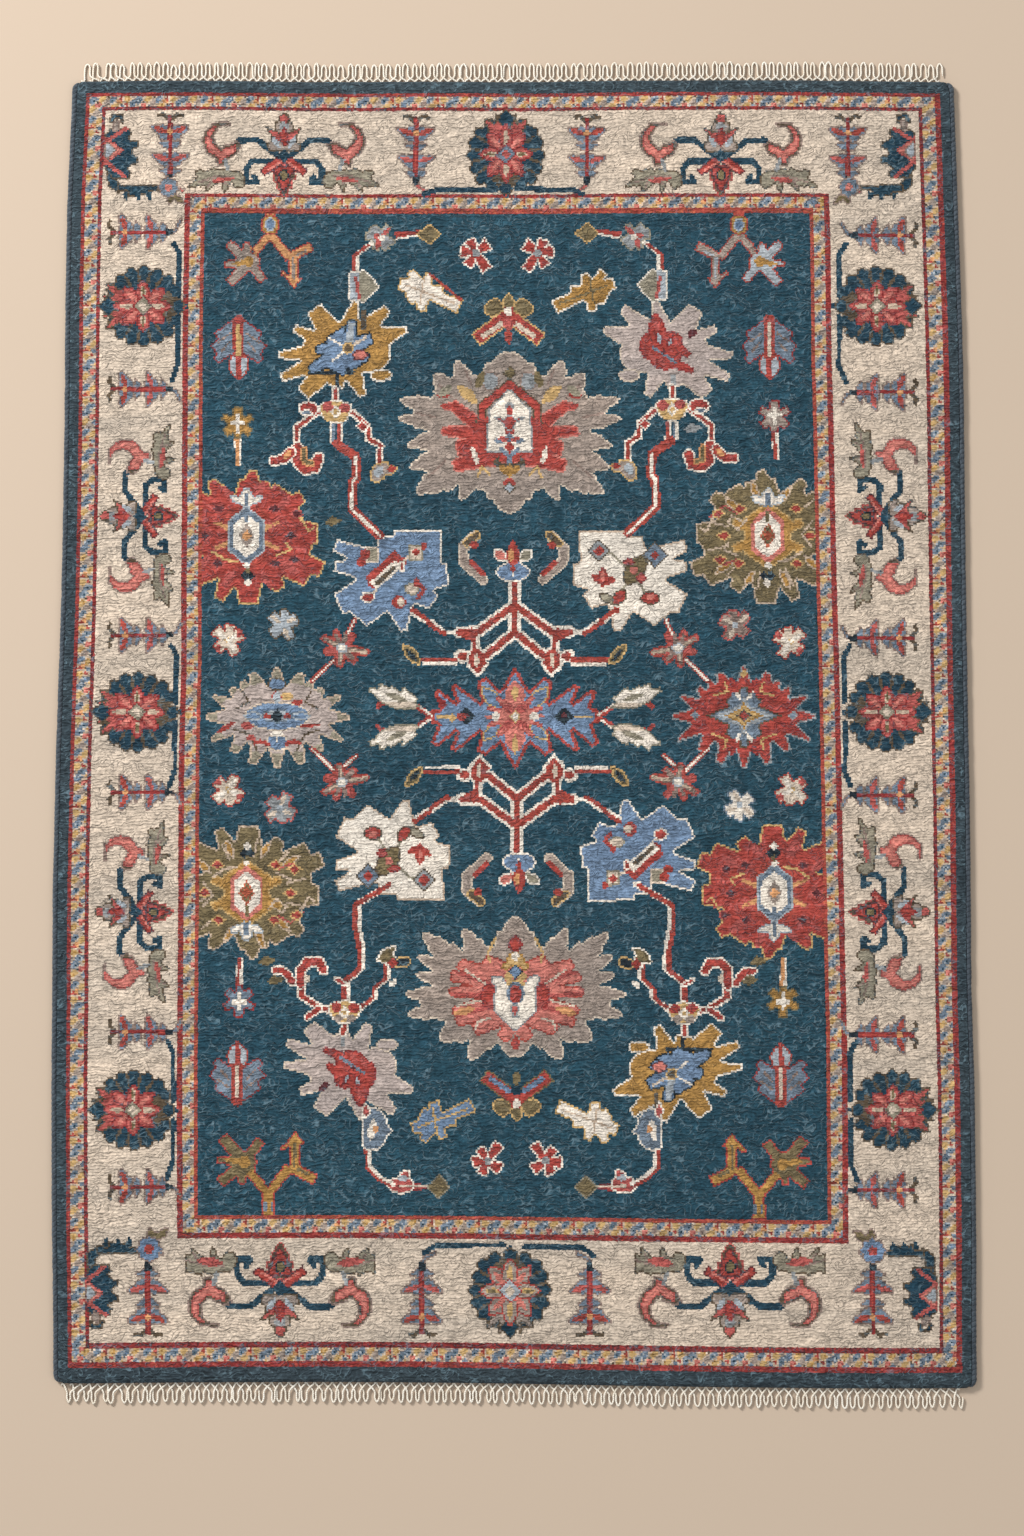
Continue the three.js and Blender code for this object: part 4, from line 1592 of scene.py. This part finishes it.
# %% Sweeping a cord
def swept(name, line, sides, ring_at):
    """A closed tube along the points of line. ring_at(step, angle) is its half width and half height."""
    bpy.ops.object.select_all(action="DESELECT")
    count = len(line)
    ahead = np.gradient(line, axis=0)
    ahead /= np.linalg.norm(ahead, axis=1)[:, None]
    side = np.cross(ahead, np.array([0.0, 0.0, 1.0]))
    side /= np.linalg.norm(side, axis=1)[:, None]
    top = np.cross(side, ahead)
    angles = np.arange(sides) * 2 * math.pi / sides
    wide, high = ring_at(np.arange(count)[:, None], angles[None, :])
    spread = side[:, None, :] * (wide * np.cos(angles))[:, :, None]
    rise = top[:, None, :] * (high * np.sin(angles))[:, :, None]
    places = (line[:, None, :] + spread + rise).reshape(-1, 3)
    this = np.arange(count - 1)[:, None] * sides + np.arange(sides)[None, :]
    next_side = np.arange(count - 1)[:, None] * sides + (np.arange(sides)[None, :] + 1) % sides
    quads = np.stack([this, next_side, next_side + sides, this + sides], axis=2).reshape(-1, 4)
    faces = [tuple(q) for q in quads.tolist()]
    faces.append(tuple(range(sides))[::-1])
    faces.append(tuple(range((count - 1) * sides, count * sides)))
    mesh = bpy.data.meshes.new(name)
    mesh.from_pydata(places.tolist(), [], faces)

    uv = mesh.uv_layers.new(name="cord")
    length = np.concatenate([[0], np.cumsum(np.linalg.norm(np.diff(line, axis=0), axis=1))])
    ring_u = np.arange(sides + 1) / sides
    u = np.stack([ring_u[:-1], ring_u[1:], ring_u[1:], ring_u[:-1]], axis=1)
    v = np.stack([length[:-1], length[:-1], length[1:], length[1:]], axis=1) * 10
    side_uv = np.stack([np.tile(u, (count - 1, 1)), np.repeat(v, sides, axis=0)], axis=2).reshape(-1, 2)
    both = np.concatenate([side_uv, np.zeros((2 * sides, 2))])
    uv.data.foreach_set("uv", both.astype(np.float32).ravel())
    piece = bpy.data.objects.new(name, mesh)
    bpy.context.collection.objects.link(piece)
    piece.select_set(True)
    bpy.context.view_layer.objects.active = piece
    mode("EDIT")
    bpy.ops.mesh.select_all(action="SELECT")
    bpy.ops.mesh.normals_make_consistent(inside=False)
    mode("OBJECT")
    bpy.ops.object.shade_smooth_by_angle(angle=math.radians(60))
    print(name, len(piece.data.polygons), "faces")
    return piece


# %% [markdown]
# The selvedges are the last few warps of each side, overcast with dark wool. The wraps slant, lie
# close, and dip where one meets the next, and in the wool the dips carry painted shade.

# %% Selvedges
WRAPS = 255
WRAP_SLANT = 1.6
SELVEDGE_STEPS = 1150
SELVEDGE_SIDES = 14
SELVEDGE_HALF_WIDE = 0.0041
SELVEDGE_HALF_HIGH = 0.0042
SELVEDGE_LIFT = 0.0044
SELVEDGE_OUT = 0.0033
SELVEDGE_SHORT = 0.0015
CORD_TURN = 0.011
TAPER_STEPS = 8


def overcast(step, angle):
    """The half width and half height of a wrapped edge, which ends in a round tip."""
    wrap = np.abs(np.sin((step / SELVEDGE_STEPS * WRAPS + angle / (2 * math.pi) * WRAP_SLANT) * math.pi))
    swell = np.minimum(0.82 + 0.2 * wrap**0.6 + 0.05 * uneven[step, 0], 1.03)
    ends = np.clip(np.minimum(step, SELVEDGE_STEPS - 1 - step) / TAPER_STEPS, 0, 1)
    taper = np.sqrt(np.clip(1 - (1 - ends) ** 2, 0.02, 1))
    return SELVEDGE_HALF_WIDE * swell * taper, SELVEDGE_HALF_HIGH * swell * taper


selvedges = []
for name, edge_x, outwards, end in (("left", LEFT_X, -1, 0), ("right", RIGHT_X, 1, -1)):
    y = np.linspace(NEAR_Y[end] + SELVEDGE_SHORT, FAR_Y[end] - SELVEDGE_SHORT, SELVEDGE_STEPS)
    into_corner = np.clip(CORD_TURN - np.minimum(y - NEAR_Y[end], FAR_Y[end] - y), 0, None)
    x = np.interp(y, SIDE_Y, edge_x) + outwards * SELVEDGE_OUT
    x = x - outwards * (CORD_TURN - np.sqrt(CORD_TURN**2 - into_corner**2))
    line = np.stack([x, y, np.full(SELVEDGE_STEPS, SELVEDGE_LIFT)], axis=1)
    uneven = cloudy((SELVEDGE_STEPS, 1), 1, 9, draw)
    selvedges.append(swept(f"selvedge_{name}_wrap", line, SELVEDGE_SIDES, overcast))

# %% [markdown]
# The fringe is the warp itself. It was never cut: each warp turns round a rod at the end of the loom
# and comes back. Every second warp belongs to the other row, so neighbours cross close to the rug,
# leave a row of small holes there, and end in narrow loops of uneven length.

# %% Fringes
LOOPS = 104
CORD_THICKNESS = 0.0030
CORD_SIDES = 8
PLY_TURN = 0.9
STEPS_BETWEEN = 3
# A strand's foot under the rug: how far to each side, and how far out at its sides and its middle.
FOOT_HALF = 0.0021
FOOT_OUT = 0.0030
FOOT_IN = 0.0002
SHOULDER = 0.0055
SPLAY = 0.0050
# How uneven the loops are: sideways, in width, in length as a share, and in height.
LEANING = 0.0012
NARROWING = 0.0005
SHORTENING = 0.05
LIFTING = 0.0003
# How high the returning strand lies over the first, at the shoulder and where they cross.
OVER_SHOULDER = 0.0004
OVER_CROSSING = 0.0009
PITCH = (END_X[-1] - END_X[0]) / LOOPS


def smooth_line(points, between):
    """A curve through all the points, with so many steps between each two."""
    p = np.concatenate([[2 * points[0] - points[1]], points, [2 * points[-1] - points[-2]]])
    t = (np.arange(between) / between)[None, :, None]
    a, b, c, d = p[:-3, None], p[1:-2, None], p[2:-1, None], p[3:, None]
    run = 0.5 * (2 * b + (c - a) * t + (2 * a - 5 * b + 4 * c - d) * t**2 + (3 * b - a - 3 * c + d) * t**3)
    return np.concatenate([run.reshape(-1, 3), points[-1:]])


def loop_row(name, edge_y, outwards, shape, start, base):
    """Every second loop of a fringe. shape is its reach, where its strands cross, and its half width."""
    reach, crossed, half = shape
    rows = LOOPS // 2
    points = []
    lean = LEANING * draw.standard_normal(rows)
    narrow = half + NARROWING * draw.standard_normal(rows)
    long = reach * (1 - SHORTENING * np.abs(draw.standard_normal(rows)))
    lift = LIFTING * np.abs(draw.standard_normal(rows))
    for i in range(rows):
        x = END_X[0] + (2 * i + start) * PITCH
        y = np.interp(x, END_X, edge_y)
        for aside, out in ((-FOOT_HALF, FOOT_OUT), (0.0, FOOT_IN), (FOOT_HALF, FOOT_OUT)):
            points.append((x + aside, y + outwards * out, base))
        tip = x + PITCH + lean[i] + SPLAY * ((2 * i + 1) / LOOPS * 2 - 1) ** 9
        if i < rows - 1 or start < 1:
            shoulder = long[i] - SHOULDER
            points.append((tip - narrow[i], y + outwards * crossed, base))
            points.append((tip - narrow[i] * 0.9, y + outwards * shoulder, base))
            points.append((tip, y + outwards * long[i], base + lift[i]))
            points.append((tip + narrow[i] * 0.9, y + outwards * shoulder, base + OVER_SHOULDER))
            points.append((tip + narrow[i], y + outwards * crossed, base + OVER_CROSSING))
    line = smooth_line(np.array(points), STEPS_BETWEEN)
    last = len(line) - 1

    def two_ply(step, angle):
        lay = 0.9 + 0.13 * np.cos(2 * (angle - step * PLY_TURN))
        half = CORD_THICKNESS / 2 * lay * np.where((step == 0) | (step == last), 0.4, 1.0)
        return half, half * 0.92

    return swept(name, line, CORD_SIDES, two_ply)


FIRST_UNDER = 0.3
FIRST_OVER = 1.3
UNDER_LEVEL = 0.0016
OVER_LEVEL = 0.0022
fringes = []
for end, edge_y, outwards, shape in (
    ("far", FAR_Y, 1, (0.0272, 0.0085, 0.0034)),
    ("near", NEAR_Y, -1, (0.0265, 0.0115, 0.0031)),
):
    under = loop_row(f"fringe_{end}_loops", edge_y, outwards, shape, FIRST_UNDER, UNDER_LEVEL)
    over = loop_row(f"{end}_loops_over", edge_y, outwards, shape, FIRST_OVER, OVER_LEVEL)
    bpy.ops.object.select_all(action="DESELECT")
    over.select_set(True)
    under.select_set(True)
    bpy.context.view_layer.objects.active = under
    bpy.ops.object.join()
    fringes.append(under)
print("fringes:", [len(piece.data.polygons) for piece in fringes], "faces")

# %% [markdown]
# Hand-spun wool takes the dye unevenly and the rows lie in furrows, so one flat colour would look
# like plastic. The pile's colour starts from the chart and is changed by a few patterns: broad bands
# where a new batch of dyed wool began, uneven tone from patch to patch and knot to knot, painted
# shade in the grooves between the rows and in the valleys of the brushed pile, and painted
# highlights on its crests and in thin bent lines where tufts catch the light. The painted highlights
# are strongest on dark wool; on pale wool the bent lines are furrows with painted shade in them.


# %% Nodes in plain calls
class Finish:
    """A material and short calls that add its nodes."""

    def __init__(self, name):
        self.material = bpy.data.materials.new(name)
        self.material.use_nodes = True
        self.nodes = self.material.node_tree.nodes
        self.surface = self.nodes["Principled BSDF"]

    def join(self, socket, value):
        if isinstance(value, bpy.types.NodeSocket):
            self.material.node_tree.links.new(value, socket)
        elif value is not None:
            socket.default_value = value

    def add(self, kind, inputs=None, output=0, **settings):
        node = self.nodes.new("ShaderNode" + kind)
        for key, value in settings.items():
            setattr(node, key, value)
        for key, value in (inputs or {}).items():
            self.join(node.inputs[key], value)
        return node.outputs[output]

    def maths(self, operation, a, b=None):
        return self.add("Math", {0: a, 1: b}, operation=operation)

    def sum(self, a, b):
        return self.maths("ADD", a, b)

    def times(self, a, b):
        return self.maths("MULTIPLY", a, b)

    def wave(self, turns, operation="COSINE"):
        """A wave of so many turns, from -1 to 1."""
        return self.maths(operation, self.times(turns, 2 * math.pi))

    def vector(self, operation, a, b=None):
        return self.add("VectorMath", {0: a, 1: b}, operation=operation)

    def scaled(self, vector, scale):
        return self.add("VectorMath", {0: vector, "Scale": scale}, operation="SCALE")

    def spread(self, value, low, high, to_low=0.0, to_high=1.0):
        """The value between low and high, laid out anew between two other numbers."""
        inputs = {"Value": value, "From Min": low, "From Max": high, "To Min": to_low, "To Max": to_high}
        return self.add("MapRange", inputs)

    def cloud(self, where, scale, detail=2.0, rough=0.5, stretch=None):
        """Soft noise, finer across and along by the two numbers of stretch."""
        if stretch:
            where = self.add("Mapping", {"Vector": where, "Scale": (*stretch, 1.0)})
        inputs = {"Vector": where, "Scale": scale, "Detail": detail, "Roughness": rough}
        return self.add("TexNoise", inputs)

    def tint(self, share, base, other, blend="MIX"):
        node = self.nodes.new("ShaderNodeMix")
        node.data_type = "RGBA"
        node.blend_type = blend
        for place, value in ((0, share), (6, base), (7, other)):
            self.join(node.inputs[place], value)
        return node.outputs[2]

    def finish(self, colour, relief, strength, distance, roughness, sheen):
        """Join the surface up: its colour, its relief in metres, its roughness and its sheen."""
        self.join(self.surface.inputs["Base Color"], colour)
        inputs = {"Height": relief, "Strength": strength, "Distance": distance}
        self.join(self.surface.inputs["Normal"], self.add("Bump", inputs))
        self.join(self.surface.inputs["Roughness"], roughness)
        self.surface.inputs["Sheen Weight"].default_value = sheen
        self.surface.inputs["Sheen Roughness"].default_value = 0.5
        self.surface.inputs["Specular IOR Level"].default_value = 0.1
        print(self.material.name, len(self.nodes), "nodes")


# %% Pile wool
wool = Finish("pile wool")
where = wool.add("TexCoord", output="Object")
yarn = wool.add("Attribute", attribute_name="yarn")
lightness = wool.add("RGBToBW", {"Color": yarn})
is_dark = wool.spread(lightness, 0.14, 0.07)
is_pale = wool.spread(lightness, 0.2, 0.5)

batches = wool.cloud(where, 2.0, 3.0, 0.6, (1.2, 9.0))
patches = wool.cloud(where, 22.0, 3.0, 0.6, (1.0, 2.2))
swirl = wool.add("TexNoise", {"Vector": where, "Scale": 55.0, "Detail": 1.0}, output=1)
swirl = wool.vector("SUBTRACT", swirl, (0.5, 0.5, 0.5))
bent = wool.vector("ADD", where, wool.scaled(swirl, 0.022))
brushed = wool.cloud(bent, 1.0, 2.0, 0.55, (44.0, 230.0))
brushed_share = wool.spread(brushed, 0.33, 0.67)
curl = wool.maths("SUBTRACT", wool.cloud(bent, 125.0, 0.0, stretch=(0.75, 1.6)), 0.5)
curl = wool.spread(wool.maths("ABSOLUTE", curl), 0.085, 0.0)
curls = wool.times(curl, wool.spread(wool.cloud(where, 60.0, 1.0), 0.36, 0.56))
glints = wool.maths("MAXIMUM", curls, wool.times(wool.spread(brushed, 0.62, 0.74), 0.5))

knots = wool.scaled(wool.add("UVMap", uv_map="knots"), 100.0)
each = wool.add("TexWhiteNoise", {"Vector": wool.vector("FLOOR", knots)}, noise_dimensions="2D")
wobble = wool.times(wool.cloud(where, 1.0, 1.0, stretch=(26.0, 40.0)), 3.2)
rows = wool.times(wool.add("SeparateXYZ", {0: knots}, output=1), 0.57)
ribs = wool.spread(wool.wave(wool.sum(rows, wobble)), 1.0, -1.0)

batch_tint = {
    place: wool.spread(batches, 0.3, 0.7, low, high)
    for place, (low, high) in enumerate([(0.55, 1.35), (0.6, 1.3), (0.65, 1.25)])
}
colour = wool.tint(0.35, yarn, wool.add("CombineColor", batch_tint), "MULTIPLY")
# Painted shade in the valleys of the brushed pile and painted highlight on its crests, strongest on dark
# wool.
valley_shade = wool.spread(is_pale, 0.0, 1.0, 0.70, 0.88)
crest_highlight = wool.spread(is_pale, 0.0, 1.0, 1.40, 1.10)
# Random tone from patch to patch and knot to knot, times painted shade: the ribs darken the grooves between
# the rows of knots, and the brushed pile darkens its valleys.
shade = wool.spread(patches, 0.3, 0.7, 0.9, 1.1)
for share, low, high in ((each, 0.80, 1.20), (ribs, 0.91, 1.05), (brushed_share, valley_shade, crest_highlight)):
    shade = wool.times(shade, wool.spread(share, 0.0, 1.0, low, high))
colour = wool.scaled(colour, shade)
# Painted shade: on pale wool the curls become thin dark lines, the shaded grooves between tufts.
painted_groove_shade = wool.times(curls, wool.spread(is_pale, 0.0, 1.0, 0.0, 0.12))
colour = wool.tint(painted_groove_shade, colour, (0.16, 0.11, 0.08, 1.0))
highlight = wool.tint(0.7, colour, (0.19, 0.29, 0.34, 1.0))
glow = wool.times(glints, wool.spread(is_dark, 0.0, 1.0, 0.05, 0.8))
colour = wool.tint(glow, colour, highlight)

raised = wool.times(glints, wool.spread(is_pale, 0.0, 1.0, 0.9, -0.7))
relief = wool.sum(wool.sum(raised, wool.times(ribs, 0.35)), wool.times(brushed_share, 1.1))
wool.finish(colour, relief, 1.0, 0.0017, wool.spread(patches, 0.3, 0.7, 0.8, 0.97), 0.08)

# %% Knotted back
back = Finish("knotted back")
yarn = back.add("Attribute", attribute_name="yarn")
knots = back.scaled(back.add("UVMap", uv_map="knots"), 100.0)
rows = back.wave(back.add("SeparateXYZ", {0: knots}, output=1))
colour = back.tint(0.25, yarn, (0.62, 0.55, 0.45, 1.0))
colour = back.tint(back.times(back.spread(rows, 0.55, 1.0), 0.6), colour, (0.7, 0.63, 0.52, 1.0))
back.finish(colour, rows, 0.5, 0.0006, 0.92, 0.1)

# %% Selvedge wool
edge = Finish("selvedge wool")
where = edge.add("TexCoord", output="Object")
tone = edge.cloud(where, 90.0, 3.0, 0.65, (3.0, 1.0))
hair = edge.cloud(where, 500.0, 2.0, 0.6, (1.0, 4.0))
cord = edge.add("SeparateXYZ", {0: edge.add("UVMap", uv_map="cord")}).node.outputs
wraps_a_unit = WRAPS / ((FAR_Y[0] - NEAR_Y[0]) * 10)
turn = edge.sum(edge.times(cord[1], wraps_a_unit), edge.times(cord[0], WRAP_SLANT))
wrap = edge.maths("ABSOLUTE", edge.maths("SINE", edge.times(turn, math.pi)))
colour = edge.tint(edge.spread(tone, 0.3, 0.7), (0.028, 0.038, 0.050, 1.0), (0.085, 0.108, 0.128, 1.0))
# Painted shade: the grooves where one wrap meets the next are darkened almost to black.
colour = edge.tint(edge.spread(wrap, 0.55, 0.0, 0.0, 0.85), colour, (0.008, 0.011, 0.015, 1.0))
colour = edge.tint(edge.spread(hair, 0.5, 0.8, 0.0, 0.5), colour, (0.2, 0.22, 0.24, 1.0))
relief = edge.sum(edge.sum(tone, hair), wrap)
edge.finish(colour, relief, 0.7, 0.0010, edge.spread(tone, 0.3, 0.7, 0.8, 0.95), 0.3)

# %% Warp cotton
warp = Finish("warp cotton")
cord = warp.add("SeparateXYZ", {0: warp.add("UVMap", uv_map="cord")}).node.outputs
tone = warp.cloud(warp.add("TexCoord", output="Object"), 45.0, 3.0, 0.6)
plies = warp.wave(warp.sum(warp.times(cord[0], 2.0), warp.times(cord[1], 36.0)), "SINE")
painted_flank_shade = warp.maths("ABSOLUTE", warp.wave(cord[0]))
colour = warp.tint(warp.spread(tone, 0.3, 0.7), (0.88, 0.78, 0.63, 1.0), (0.97, 0.91, 0.80, 1.0))
# Painted shade: a dark brown line in the groove between the two plies.
colour = warp.tint(warp.spread(plies, -0.4, -1.0, 0.0, 0.35), colour, (0.5, 0.4, 0.28, 1.0))
# Painted shade: the left and right flanks of every cord are darkened to brown, as the shaded sides of a
# round cord.
colour = warp.tint(warp.spread(painted_flank_shade, 0.72, 1.0, 0.0, 0.75), colour, (0.22, 0.15, 0.09, 1.0))
warp.finish(colour, plies, 0.5, 0.0005, warp.spread(tone, 0.3, 0.7, 0.75, 0.95), 0.15)

# %% [markdown]
# Last, every piece is tied to the CAD model: it takes its finish and rides on the rug's one body,
# and the CAD parts that the pieces stand in for are hidden.

# %% Tying the pieces to the frame
for piece in pile:
    piece.data.materials.append(wool.material)
foundation.data.materials.append(back.material)
for piece in selvedges:
    piece.data.materials.append(edge.material)
for piece in fringes:
    piece.data.materials.append(warp.material)
for piece in [foundation, *pile, *selvedges, *fringes]:
    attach(piece, "root")
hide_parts("pile_rug")
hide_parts("selvedge_left")
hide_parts("selvedge_right")
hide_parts("fringe_far")
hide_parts("fringe_near")
